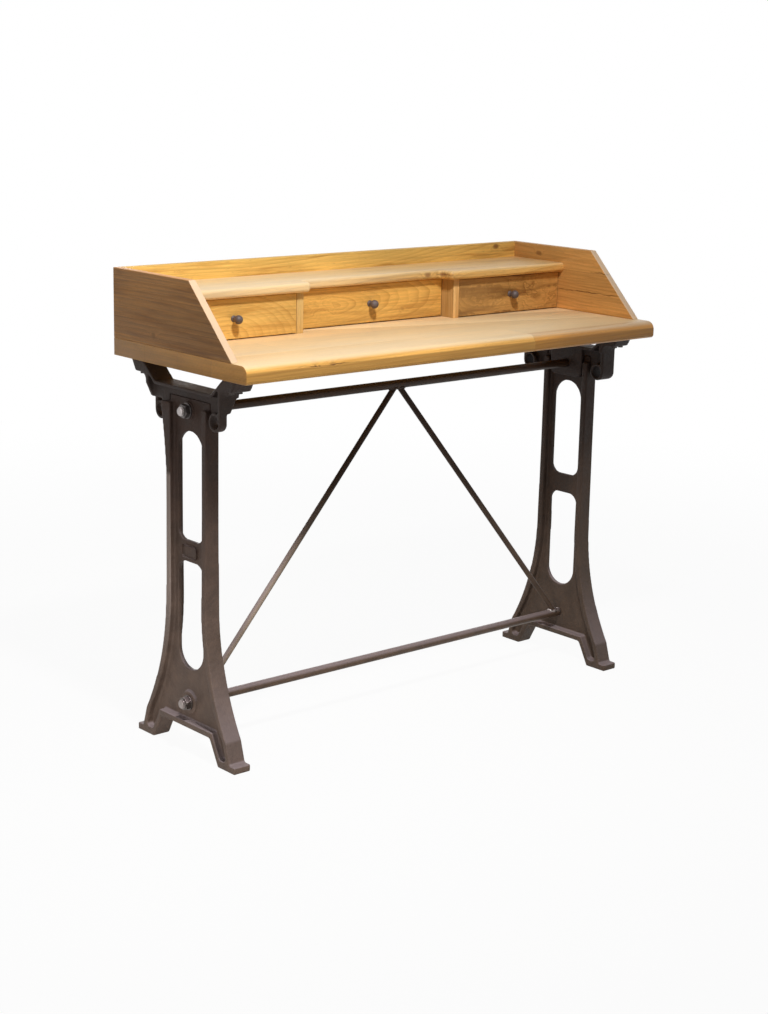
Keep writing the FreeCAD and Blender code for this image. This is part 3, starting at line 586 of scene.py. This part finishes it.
sideRightLook = {
    **woodBasis, "axes": "yzx", "pale": (0.7, 0.36, 0.108), "deep": (0.42, 0.18, 0.045),
    "pith": (-0.25, 0.72, 0.42), "slope": (0.0, 0.02, 0.04), "seed": 14.0, "wander": 0.009,
    # a painted highlight on the slanted front edge
    "toneStrength": 0.22, "streakStrength": 0.35, "ringStrength": 0.55, "slantHighlightColour": (0.8, 0.6, 0.42),
    "planks": {"edge": 0.697, "width": 0.0845, "joint": 0.9, "length": 3.0, "tone": 0.03},
    "splits": [("yzx", (-0.03, 0.824, 0.52), 0.21, 0.0016), ("yzx", (-0.075, 0.868, 0.52), 0.09, 0.0012)],
    "knots": [("yzx", (0.12, 0.895, 0.52), 0.0045, 0.8)],
}
backLook = {
    **woodBasis, "axes": "xzy", "pale": (0.81, 0.505, 0.132),
    "pith": (-0.22, 0.93, 0.196), "slope": (0.0, 0.03, 0.1), "seed": 21.0,
    "toneStrength": 0.26, "wander": 0.009, "streakStrength": 0.85,
    "knots": [("xzy", (0.461, 0.906, 0.196), 0.005, 0.9)],
}
dividerLeftLook = {
    **woodBasis, "axes": "zxy", "pale": (0.68, 0.45, 0.165),
    "pith": (0.8, 0.3, 0.35), "seed": 31.0, "gap": 0.005,
}
dividerRightLook = {
    **dividerLeftLook, "pale": (0.95, 0.58, 0.23), "deep": (0.58, 0.29, 0.08),
    # painted shade on its faces turned sideways
    "seed": 33.0, "sideShadeTint": (0.5, 0.48, 0.43),
}
frontLeftLook = {
    **woodBasis, "axes": "xzy", "pale": (0.83, 0.5, 0.134), "deep": (0.5, 0.235, 0.047),
    "pith": (-0.385, 0.786, 0.057), "slope": (0.0, -0.02, 0.48), "seed": 41.0,
    "wander": 0.009, "gap": 0.0085, "ringStrength": 0.7,
}
# the centre front is darker than the left front: painted shade, as the light falls off towards the middle
frontCentreLook = {
    **woodBasis, "axes": "xzy", "pale": (0.74, 0.418, 0.102), "deep": (0.42, 0.195, 0.042),
    "pith": (-0.13, 0.822, 0.093), "slope": (0.0, 0.03, 0.22), "seed": 47.0, "wander": 0.01, "gap": 0.0055,
    "ringStrength": 0.72, "streakStrength": 0.7,
    "knots": [("xzy", (0.094, 0.804, 0.093), 0.0034, 0.3), ("xzy", (-0.125, 0.818, 0.093), 0.008, 0.0)],
}
frontRightLook = {
    # darker pale than the left front: painted shade, as the light falls off to the right; the deep colour
    # and wide rings are its own bold figure
    **woodBasis, "axes": "xzy", "pale": (0.56, 0.29, 0.082), "deep": (0.16, 0.06, 0.013),
    # painted light: lighter towards the left, as the right of this front lies in the side panel's shade
    "paintedLitSide": {"from": 0.42, "to": 0.27, "colour": (0.98, 0.58, 0.2), "share": 0.14},
    "pith": (0.36, 0.7, 0.2), "slope": (0.0, 0.1, 0.2), "seed": 53.0, "wander": 0.03,
    "gap": 0.0125, "toneStrength": 0.34, "ringStrength": 0.95, "streakStrength": 0.75,
    "knots": [
        ("xzy", (0.278, 0.843, 0.057), 0.004, 0.9), ("xzy", (0.49, 0.83, 0.057), 0.003, 0.6),
        ("xzy", (0.262, 0.812, 0.057), 0.012, 0.0), ("xzy", (0.31, 0.8, 0.057), 0.009, 0.0),
        ("xzy", (0.41, 0.835, 0.057), 0.011, 0.0), ("xzy", (0.45, 0.805, 0.057), 0.013, 0.0),
    ],
}
boxLook = {
    **woodBasis, "axes": "yzx", "pale": (0.7, 0.5, 0.27), "deep": (0.52, 0.33, 0.15),
    "pith": (0.1, 0.3, 0.4), "seed": 61.0, "ringStrength": 0.55, "roughness": 0.55,
}
floorBoardLook = {**boxLook, "axes": "xyz", "pith": (0.0, -0.4, 0.5), "seed": 67.0}
dowelLook = {**boxLook, "axes": "xyz", "pith": (0.0, 0.2, 0.7), "seed": 71.0, "gap": 0.003}

# what every iron finish starts from
legLook = {
    # the upper colour is painted shade, darker where the desk top shades the legs
    "grit": 900.0, "upper": (0.042, 0.024, 0.017), "lower": (0.13, 0.092, 0.076),
    "shadeTop": 0.66, "shadeFoot": 0.06, "mottle": 0.18, "speck": 0.4, "bare": (0.22, 0.18, 0.17),
    "gloss": 0.55, "metallic": 0.0, "specular": 0.2, "bump": 0.0008,
    # a painted highlight on faces turned up near the floor
    "paintedUpLight": 0.85, "paintedUpLightColour": (0.32, 0.255, 0.26),
}
legLeftLook = {
    **legLook, "upper": (0.056, 0.032, 0.023), "lower": (0.154, 0.106, 0.081),
    # painted light: a lighter strip on the back flange's outer edge below the desk top's shadow
    "paintedLitStrip": {
        "from": 0.5196, "top": 0.545, "full": 0.36, "foot": 0.14,
        "share": 0.72, "colour": (0.39, 0.31, 0.27),
    },
}
# the right leg is darker than the left: painted shade, a shaded copy of the same iron
legRightLook = {**legLook, "upper": (0.031, 0.017, 0.012), "lower": (0.104, 0.071, 0.051)}
# the right bracket is darker than the left: painted shade, a shaded copy of the same iron
bracketLeftLook = {**legLook, "upper": (0.058, 0.04, 0.033), "lower": (0.058, 0.04, 0.033)}
bracketRightLook = {**legLook, "upper": (0.029, 0.019, 0.016), "lower": (0.029, 0.019, 0.016)}
# darker higher up like the legs: painted shade under the desk top
rodLook = {
    **legLook, "grit": 1500.0, "upper": (0.052, 0.03, 0.019), "lower": (0.126, 0.081, 0.054),
    "bump": 0.0002, "gloss": 0.42, "speck": 0.2,
}
# the lower colour is a painted lit band on the left brace, lighter where light reaches it below the desk
# top's shadow
braceLeftLook = {
    **rodLook, "upper": (0.05, 0.032, 0.023), "lower": (0.34, 0.262, 0.2), "speck": 0.0, "bump": 0.0001,
    "shadeTop": 0.5, "shadeFoot": 0.26, "grit": 350.0, "specular": 0.06,
}
# the right brace is a shaded copy, darker: painted shade
braceRightLook = {**braceLeftLook, "lower": (0.13, 0.09, 0.066), "shadeTop": 0.66, "shadeFoot": 0.06}
knobLook = {
    **legLook, "grit": 1800.0, "upper": (0.115, 0.088, 0.085), "lower": (0.115, 0.088, 0.085),
    "bare": (0.2, 0.17, 0.17), "bump": 0.0001, "gloss": 0.5, "metallic": 0.15, "speck": 0.3,
    "specular": 0.4,
}
nutLook = {
    **legLook, "grit": 1400.0, "upper": (0.12, 0.104, 0.1), "lower": (0.125, 0.102, 0.09),
    "bare": (0.55, 0.52, 0.5), "bump": 0.0002, "gloss": 0.33, "metallic": 0.75, "speck": 0.45,
    "specular": 0.5,
}
threadLook = {**nutLook, "upper": (0.46, 0.42, 0.41), "lower": (0.34, 0.29, 0.27)}
screwLook = {
    **nutLook, "upper": (0.05, 0.04, 0.035), "lower": (0.05, 0.04, 0.035), "bare": (0.1, 0.09, 0.085),
}
weldLook = {
    **nutLook, "grit": 700.0, "upper": (0.42, 0.38, 0.35), "lower": (0.42, 0.38, 0.35),
    "bare": (0.85, 0.82, 0.78),
}
weldPaintLook = {
    **legLook, "grit": 1100.0, "upper": (0.05, 0.035, 0.027), "lower": (0.11, 0.08, 0.06), "bump": 0.0003,
}

woodLooks = {
    "desktopWood": desktopLook, "shelfWood": shelfLook,
    "sideLeftWood": sideLeftLook, "sideRightWood": sideRightLook, "backWood": backLook,
    "dividerLeftWood": dividerLeftLook, "dividerRightWood": dividerRightLook,
    "frontLeftWood": frontLeftLook, "frontCentreWood": frontCentreLook, "frontRightWood": frontRightLook,
    "boxWood": boxLook, "floorBoardWood": floorBoardLook, "dowelWood": dowelLook,
}
ironLooks = {
    "legLeftIron": legLeftLook, "legRightIron": legRightLook,
    "bracketLeftIron": bracketLeftLook, "bracketRightIron": bracketRightLook,
    "rodSteel": rodLook, "braceLeftSteel": braceLeftLook, "braceRightSteel": braceRightLook,
    "knobIron": knobLook, "nutSteel": nutLook, "threadSteel": threadLook, "screwSteel": screwLook,
    "weldSteel": weldLook, "weldPaint": weldPaintLook,
}
finishes = {name: makeWood(name, look) for name, look in woodLooks.items()}
finishes.update({name: makeIron(name, look) for name, look in ironLooks.items()})
print("finishes made:", len(finishes))


# modelling helpers, with sizes in metres and angles in degrees

def activate(piece):
    bpy.ops.object.select_all(action="DESELECT")
    piece.select_set(True)
    bpy.context.view_layer.objects.active = piece


def addObject(name, data):
    added = bpy.data.objects.new(name, data)
    bpy.context.scene.collection.objects.link(added)
    return added


def dress(piece, finish):
    piece.data.materials.clear()
    piece.data.materials.append(finishes[finish])


def applyModifier(piece, modifier):
    activate(piece)
    bpy.ops.object.modifier_apply(modifier=modifier.name)


def addBevel(piece, width, segments, sharp):
    bevel = piece.modifiers.new("ease", "BEVEL")
    bevel.width = width
    bevel.segments = segments
    bevel.limit_method = "ANGLE"
    bevel.angle_limit = math.radians(sharp)
    return bevel


def shadeSmooth(piece, angle):
    activate(piece)
    bpy.ops.object.shade_smooth_by_angle(angle=math.radians(angle))


def startEdit():
    bpy.ops.object.mode_set(mode="EDIT")
    bpy.ops.mesh.select_all(action="SELECT")


def endEdit():
    bpy.ops.object.mode_set(mode="OBJECT")


def applyTransform():
    bpy.ops.object.transform_apply(location=True, rotation=True, scale=True)


def clearSelection(mesh):
    for members in (mesh.polygons, mesh.edges, mesh.vertices):
        for member in members:
            member.select = False


# pieces with a CAD node's own shape, which stand for the node

easeShape = {"merge": 0.00002, "flat": 0.6, "segments": 2, "sharp": 40, "smooth": 35}
castShape = {"voxel": 0.0018, "softness": 0.5, "passes": 5, "keep": 0.3, "smooth": 60}


def mergedCopy(nodeName):
    piece = addObject(nodeName + ".eased", cadNodes[nodeName].data.copy())
    activate(piece)
    startEdit()
    bpy.ops.mesh.remove_doubles(threshold=easeShape["merge"])
    bpy.ops.mesh.customdata_custom_splitnormals_clear()
    endEdit()
    return piece


def standFor(piece, nodeName, finish):
    dress(piece, finish)
    dress(cadNodes[nodeName], finish)
    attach(piece, bodyOf[nodeName])
    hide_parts(nodeName)


def easedCopy(nodeName, finish, edge):
    piece = mergedCopy(nodeName)
    startEdit()
    bpy.ops.mesh.dissolve_limited(angle_limit=math.radians(easeShape["flat"]))
    endEdit()
    if edge:
        bevel = addBevel(piece, edge, easeShape["segments"], easeShape["sharp"])
        bevel.use_clamp_overlap = False
        bevel.miter_outer = "MITER_ARC"
        applyModifier(piece, bevel)
    shadeSmooth(piece, easeShape["smooth"])
    standFor(piece, nodeName, finish)
    return piece


# a casting has every edge and inner corner softened as sand leaves them
def castCopy(nodeName, finish):
    piece = mergedCopy(nodeName)
    remesh = piece.modifiers.new("sand", "REMESH")
    remesh.mode = "VOXEL"
    remesh.voxel_size = castShape["voxel"]
    applyModifier(piece, remesh)
    soften = piece.modifiers.new("soften", "SMOOTH")
    soften.factor = castShape["softness"]
    soften.iterations = castShape["passes"]
    applyModifier(piece, soften)
    thin = piece.modifiers.new("thin", "DECIMATE")
    thin.ratio = castShape["keep"]
    applyModifier(piece, thin)
    shadeSmooth(piece, castShape["smooth"])
    standFor(piece, nodeName, finish)
    return piece


# the finish of each casting, and the finish and edge easing of every other node
castings = {
    "leg_left": "legLeftIron", "leg_right": "legRightIron",
    "bracket_left": "bracketLeftIron", "bracket_right": "bracketRightIron",
}
nodeFinish = {
    "desktop": ("desktopWood", 0.0012), "shelf": ("shelfWood", 0.0012), "back_panel": ("backWood", 0.0012),
    "side_panel_left": ("sideLeftWood", 0.0012), "side_panel_right": ("sideRightWood", 0.0012),
    "divider_left": ("dividerLeftWood", 0.0008), "divider_right": ("dividerRightWood", 0.0008),
    "drawer_left_front": ("frontLeftWood", 0.0009), "drawer_centre_front": ("frontCentreWood", 0.0009),
    "drawer_right_front": ("frontRightWood", 0.0009),
    "rod_top": ("rodSteel", 0.0006), "rod_bottom": ("rodSteel", 0.0006),
    "brace_left": ("braceLeftSteel", 0.0), "brace_right": ("braceRightSteel", 0.0),
    "rod_washers": ("nutSteel", 0.0004),
    "bracket_screws": ("screwSteel", 0.0), "panel_screws": ("screwSteel", 0.0),
    "panel_dowels": ("dowelWood", 0.0),
}
for bay in ("left", "centre", "right"):
    for member in ("side_left", "side_right", "back"):
        nodeFinish["drawer_%s_%s" % (bay, member)] = ("boxWood", 0.0006)
    nodeFinish["drawer_%s_floor" % bay] = ("floorBoardWood", 0.0)
    nodeFinish["drawer_%s_knob" % bay] = ("knobIron", 0.0003)
    nodeFinish["drawer_%s_screw" % bay] = ("screwSteel", 0.0)

easedPieces = {}
for nodeName, (finish, edge) in nodeFinish.items():
    easedPieces[nodeName] = easedCopy(nodeName, finish, edge)
for nodeName, finish in castings.items():
    easedPieces[nodeName] = castCopy(nodeName, finish)

# bare steel where the rods are threaded, beyond this distance from the middle
threadStart = 0.517
for nodeName in ("rod_top", "rod_bottom"):
    rod = easedPieces[nodeName]
    rod.data.materials.append(finishes["threadSteel"])
    for polygon in rod.data.polygons:
        polygon.material_index = 1 if abs(polygon.center.x) > threadStart else 0
print("eased pieces:", len(easedPieces))


# hexagon nuts with turned corners, one modelled and copied to the four threads

nutShape = {
    "flats": 0.024, "sides": 6, "height": 0.0095, "bore": 0.0081, "boreSides": 48,
    "turned": 0.0015, "turnedSharp": 30, "turnedSides": 96,
    "soft": 0.00035, "softSteps": 2, "softSharp": 25, "merge": 0.00003, "smooth": 28,
}
# the turn of each nut in degrees, by its side and by whether it is on the top rod
nutTurns = {(-1, True): 12.0, (-1, False): 38.0, (1, True): 25.0, (1, False): 5.0}
# a height between the two rods, and the turn that lays a cylinder along them
betweenRods = 0.4
acrossX = (0.0, math.radians(90), 0.0)


def nutBox(side, top):
    spots = [
        vertex.co for vertex in cadNodes["rod_nuts"].data.vertices
        if vertex.co.x * side > 0 and (vertex.co.z > betweenRods) == top
    ]
    low = Vector([min(spot[axis] for spot in spots) for axis in range(3)])
    high = Vector([max(spot[axis] for spot in spots) for axis in range(3)])
    return low, high


def addCylinder(name, radius, depth, vertices):
    bpy.ops.mesh.primitive_cylinder_add(vertices=vertices, radius=radius, depth=depth, rotation=acrossX)
    applyTransform()
    bpy.context.active_object.name = name
    return bpy.context.active_object


def carve(piece, tool, operation):
    boolean = piece.modifiers.new("carve", "BOOLEAN")
    boolean.operation = operation
    boolean.object = tool
    boolean.solver = "EXACT"
    applyModifier(piece, boolean)
    bpy.data.objects.remove(tool)


def settle(piece, place, turn=(0.0, 0.0, 0.0)):
    activate(piece)
    piece.rotation_euler = turn
    piece.location = place
    applyTransform()


def joinPieces(pieces, name):
    activate(pieces[0])
    for piece in pieces[1:]:
        piece.select_set(True)
    bpy.ops.object.join()
    pieces[0].name = name
    return pieces[0]


def makeNuts():
    corner = nutShape["flats"] / math.sqrt(3)
    nut = addCylinder("rodNut", corner, nutShape["height"], nutShape["sides"])
    barrel = addCylinder("nutBarrel", corner, nutShape["height"], nutShape["turnedSides"])
    applyModifier(barrel, addBevel(barrel, nutShape["turned"], 1, nutShape["turnedSharp"]))
    carve(nut, barrel, "INTERSECT")
    bore = addCylinder("nutBore", nutShape["bore"], nutShape["height"] * 2, nutShape["boreSides"])
    carve(nut, bore, "DIFFERENCE")
    applyModifier(nut, addBevel(nut, nutShape["soft"], nutShape["softSteps"], nutShape["softSharp"]))
    startEdit()
    bpy.ops.mesh.remove_doubles(threshold=nutShape["merge"])
    bpy.ops.mesh.dissolve_degenerate(threshold=nutShape["merge"])
    endEdit()
    copies = []
    for (side, top), turn in nutTurns.items():
        low, high = nutBox(side, top)
        twin = addObject("nut%d%s" % (side, top), nut.data.copy())
        settle(twin, (low + high) / 2, (math.radians(turn), 0.0, 0.0))
        copies.append(twin)
    bpy.data.objects.remove(nut)
    nuts = joinPieces(copies, "rodNuts.turned")
    shadeSmooth(nuts, nutShape["smooth"])
    standFor(nuts, "rod_nuts", "nutSteel")


# a screw thread on each rod end that stands out of its nut

threadShape = {
    "pitch": 0.0015, "ridge": 0.0007, "ridgeSides": 3, "steps": 48, "core": 0.0078,
    "plain": 0.001, "offNut": 0.0006, "offEnd": 0.0012, "merge": 0.00001, "smooth": 40,
}


def makeThreads():
    copies = []
    for side, top in nutTurns:
        nodeName = "rod_top" if top else "rod_bottom"
        low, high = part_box(nodeName)
        nutLow, nutHigh = nutBox(side, top)
        stub = high.x - nutHigh.x if side > 0 else nutLow.x - low.x
        bpy.ops.mesh.primitive_circle_add(
            vertices=threadShape["ridgeSides"], radius=threadShape["ridge"], fill_type="NOTHING",
            location=(0.0, 0.0, threadShape["core"]), rotation=(math.radians(90), 0.0, 0.0),
        )
        applyTransform()
        ridge = bpy.context.active_object
        screw = ridge.modifiers.new("wind", "SCREW")
        screw.axis = "X"
        screw.screw_offset = threadShape["pitch"]
        screw.iterations = max(1, int((stub - threadShape["plain"]) / threadShape["pitch"]))
        screw.steps = threadShape["steps"]
        applyModifier(ridge, screw)
        startEdit()
        bpy.ops.mesh.remove_doubles(threshold=threadShape["merge"])
        bpy.ops.mesh.select_all(action="DESELECT")
        bpy.ops.mesh.select_non_manifold()
        bpy.ops.mesh.edge_face_add()
        bpy.ops.mesh.select_all(action="SELECT")
        bpy.ops.mesh.normals_make_consistent(inside=False)
        endEdit()
        start = nutHigh.x + threadShape["offNut"] if side > 0 else low.x + threadShape["offEnd"]
        settle(ridge, (start, (low.y + high.y) / 2, (low.z + high.z) / 2))
        copies.append(ridge)
    threads = joinPieces(copies, "rodThreads")
    shadeSmooth(threads, threadShape["smooth"])
    dress(threads, "threadSteel")
    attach(threads, "desk")


# lumpy weld beads where the braces meet the rods, their sides sagging round the rod

beadShape = {
    "ring": 0.0068, "ringSteps": 20, "bead": 0.0026, "beadSteps": 8, "lumps": 0.0011,
    "stretch": 1.32, "sag": 0.0014, "sagFrom": (0.0035, 0.0058), "levels": 2,
}
# each weld's name, place across the desk, rod, seed of its lumps, size and finish
welds = {
    "brace_left": [
        ("weldFoot", -0.4833, "rod_bottom", 8, 1.0, "weldPaint"),
        ("weldApex", -0.0094, "rod_top", 11, 1.0, "weldPaint"),
    ],
    "brace_right": [
        ("weldFoot", 0.4833, "rod_bottom", 3, 1.35, "weldSteel"),
        ("weldApex", 0.0094, "rod_top", 5, 1.0, "weldPaint"),
        ("weldSpatter", 0.4955, "rod_bottom", 17, 0.9, "weldSteel"),
    ],
}
upsideDown = (math.radians(180), 0.0, 0.0)


def makeBead(name, lumpSeed, size):
    bpy.ops.mesh.primitive_torus_add(
        major_radius=beadShape["ring"], minor_radius=beadShape["bead"] * size,
        major_segments=beadShape["ringSteps"], minor_segments=beadShape["beadSteps"],
    )
    bead = bpy.context.active_object
    bead.name = name
    bead.scale = (beadShape["stretch"], 1.0, 1.0)
    applyTransform()
    startEdit()
    bpy.ops.transform.vertex_random(offset=beadShape["lumps"] * size, uniform=1.0, seed=lumpSeed)
    endEdit()
    for reach in beadShape["sagFrom"]:
        clearSelection(bead.data)
        for vertex in bead.data.vertices:
            vertex.select = abs(vertex.co.y) > reach
        bpy.ops.object.mode_set(mode="EDIT")
        bpy.ops.transform.translate(value=(0.0, 0.0, -beadShape["sag"]))
        endEdit()
    smooth = bead.modifiers.new("flow", "SUBSURF")
    smooth.levels = beadShape["levels"]
    applyModifier(bead, smooth)
    bpy.ops.object.shade_smooth()
    return bead


def makeBeads():
    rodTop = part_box("rod_bottom")[1].z
    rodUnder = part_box("rod_top")[0].z
    for node, beads in welds.items():
        low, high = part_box(node)
        middle = (low.y + high.y) / 2
        for name, across, rod, lumpSeed, size, finish in beads:
            bead = makeBead(name + node, lumpSeed, size)
            if rod == "rod_top":
                settle(bead, Vector((across, middle, rodUnder)), upsideDown)
            else:
                settle(bead, Vector((across, middle, rodTop)))
            dress(bead, finish)
            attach(bead, "desk")


# a bare raised plate on the bridge of each leg, with a rim and a sunk field

plateShape = {
    "depth": 0.046, "height": 0.025, "thick": 0.0024, "corner": 0.006, "cornerSteps": 6,
    "rim": 0.0026, "sunk": 0.0009, "outward": -0.9,
    "soft": 0.0005, "softSteps": 3, "softSharp": 15, "smooth": 35,
}
# place and turn about the vertical of the plate on each leg
platePlaces = {
    "leg_left": ((-0.51, -0.0025, 0.396), 0.0),
    "leg_right": ((0.51, -0.0025, 0.396), math.pi),
}


def makePlates():
    bpy.ops.mesh.primitive_cube_add(size=1.0)
    plate = bpy.context.active_object
    plate.scale = (plateShape["thick"] * 2, plateShape["depth"], plateShape["height"])
    applyTransform()
    clearSelection(plate.data)
    for edge in plate.data.edges:
        first, second = (plate.data.vertices[index].co for index in edge.vertices)
        edge.select = abs(first.x - second.x) > plateShape["thick"]
    bpy.ops.object.mode_set(mode="EDIT")
    bpy.ops.mesh.select_mode(type="EDGE")
    bpy.ops.mesh.bevel(offset=plateShape["corner"], segments=plateShape["cornerSteps"])
    bpy.ops.mesh.select_mode(type="FACE")
    bpy.ops.mesh.select_all(action="DESELECT")
    endEdit()
    for polygon in plate.data.polygons:
        polygon.select = polygon.normal.x < plateShape["outward"]
    bpy.ops.object.mode_set(mode="EDIT")
    bpy.ops.mesh.inset(thickness=plateShape["rim"])
    bpy.ops.transform.translate(value=(plateShape["sunk"], 0.0, 0.0))
    endEdit()
    soft = addBevel(plate, plateShape["soft"], plateShape["softSteps"], plateShape["softSharp"])
    applyModifier(plate, soft)
    for name, (place, turn) in platePlaces.items():
        twin = addObject("bridgePlate." + name, plate.data.copy())
        settle(twin, place, (0.0, 0.0, turn))
        shadeSmooth(twin, plateShape["smooth"])
        dress(twin, castings[name])
        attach(twin, "desk")
    bpy.data.objects.remove(plate)


makeNuts()
makeThreads()
makeBeads()
makePlates()
print("nuts, threads, welds and plates made")


# floor, light and camera

studio = {
    "floorColour": (0.8, 0.79, 0.78, 1.0), "floorSize": 16.0, "floorHeight": -0.0003, "floorRough": 0.9,
    "floorGlow": 0.95, "nearFloor": 1.0, "farFloor": 3.2, "skyLight": 0.135, "white": (1.0, 1.0, 1.0, 1.0),
}
lamps = {
    "keyLamp": {"place": (-0.65, -1.04, 2.3), "aim": (-0.48, 0.05, 0.8),
                "power": 148.0, "size": 0.1, "cone": 100.0},
    "lowLamp": {"place": (-2.1, -0.9, 0.55), "aim": (-0.5, 0.0, 0.22),
                "power": 60.0, "size": 0.35, "cone": 30.0},
    "backLamp": {"place": (0.6, 2.6, 0.8), "aim": (0.0, 0.1, 0.55),
                 "power": 110.0, "size": 0.5, "cone": 70.0},
}


# 1 for rays that show the floor and sky, 0 for rays that light the desk
def seenRay(tree):
    paths = tree.nodes.new("ShaderNodeLightPath").outputs
    seen = maths(tree, "MAXIMUM", paths["Is Camera Ray"], paths["Is Glossy Ray"])
    return maths(tree, "MAXIMUM", seen, paths["Is Transmission Ray"])


def makeFloor():
    bpy.ops.mesh.primitive_plane_add(size=studio["floorSize"], location=(0, 0, studio["floorHeight"]))
    floor = bpy.context.active_object
    floor.name = "studioFloor"
    material, tree, shader, place = startMaterial("studioFloor")
    shader.inputs["Base Color"].default_value = studio["floorColour"]
    shader.inputs["Roughness"].default_value = studio["floorRough"]
    shader.inputs["Specular IOR Level"].default_value = 0.0
    glow = tree.nodes.new("ShaderNodeEmission")
    glow.inputs["Color"].default_value = studio["white"]
    mix = tree.nodes.new("ShaderNodeMixShader")
    away = vectorMaths(tree, "LENGTH", place, out="Value")
    bright = ranged(tree, away, studio["nearFloor"], studio["farFloor"], studio["floorGlow"], 1.0)
    feed(tree, mix.inputs["Fac"], times(tree, seenRay(tree), bright))
    feed(tree, mix.inputs[1], shader.outputs["BSDF"])
    feed(tree, mix.inputs[2], glow.outputs["Emission"])
    feed(tree, tree.nodes["Material Output"].inputs["Surface"], mix.outputs[0])
    floor.data.materials.append(material)


def makeSky():
    world = bpy.data.worlds.new("studioSky")
    bpy.context.scene.world = world
    world.use_nodes = True
    tree = world.node_tree
    sky = tree.nodes["Background"]
    sky.inputs["Color"].default_value = studio["white"]
    feed(tree, sky.inputs["Strength"], ranged(tree, seenRay(tree), 0.0, 1.0, studio["skyLight"], 1.0))


def addLamp(name, values):
    lamp = bpy.data.lights.new(name, "SPOT")
    lamp.energy = values["power"]
    lamp.shadow_soft_size = values["size"]
    lamp.spot_size = math.radians(values["cone"])
    lamp.spot_blend = 1.0
    direction = Vector(values["aim"]) - Vector(values["place"])
    turn = direction.to_track_quat("-Z", "Y").to_matrix().to_4x4()
    addObject(name, lamp).matrix_world = Matrix.Translation(values["place"]) @ turn


# the camera that took the photo, with angles in radians
photoView = {
    "place": (-2.50011, -2.84157, 1.31805), "yaw": -0.7165, "pitch": -0.2353, "roll": 0.0214,
    "focalPixels": 1888.9, "frameHeight": 1014, "sensor": 36.0, "farthest": 60.0,
}


def makeCamera():
    yaw, pitch, roll = photoView["yaw"], photoView["pitch"], photoView["roll"]
    right = Vector((math.cos(yaw), math.sin(yaw), 0.0))
    ahead = Vector((-math.sin(yaw) * math.cos(pitch), math.cos(yaw) * math.cos(pitch), math.sin(pitch)))
    up = right.cross(ahead)
    rolledRight = right * math.cos(roll) + up * math.sin(roll)
    rolledUp = up * math.cos(roll) - right * math.sin(roll)
    lens = bpy.data.cameras.new("photoCamera")
    lens.sensor_width = photoView["sensor"]
    lens.lens = photoView["focalPixels"] / photoView["frameHeight"] * photoView["sensor"]
    lens.clip_end = photoView["farthest"]
    holder = addObject("photoCamera", lens)
    turn = Matrix((rolledRight, rolledUp, -ahead)).transposed().to_4x4()
    holder.matrix_world = Matrix.Translation(photoView["place"]) @ turn
    bpy.context.scene.camera = holder


makeFloor()
makeSky()
for name, values in lamps.items():
    addLamp(name, values)
makeCamera()
bpy.context.scene.view_settings.view_transform = "Standard"
print("studio ready")
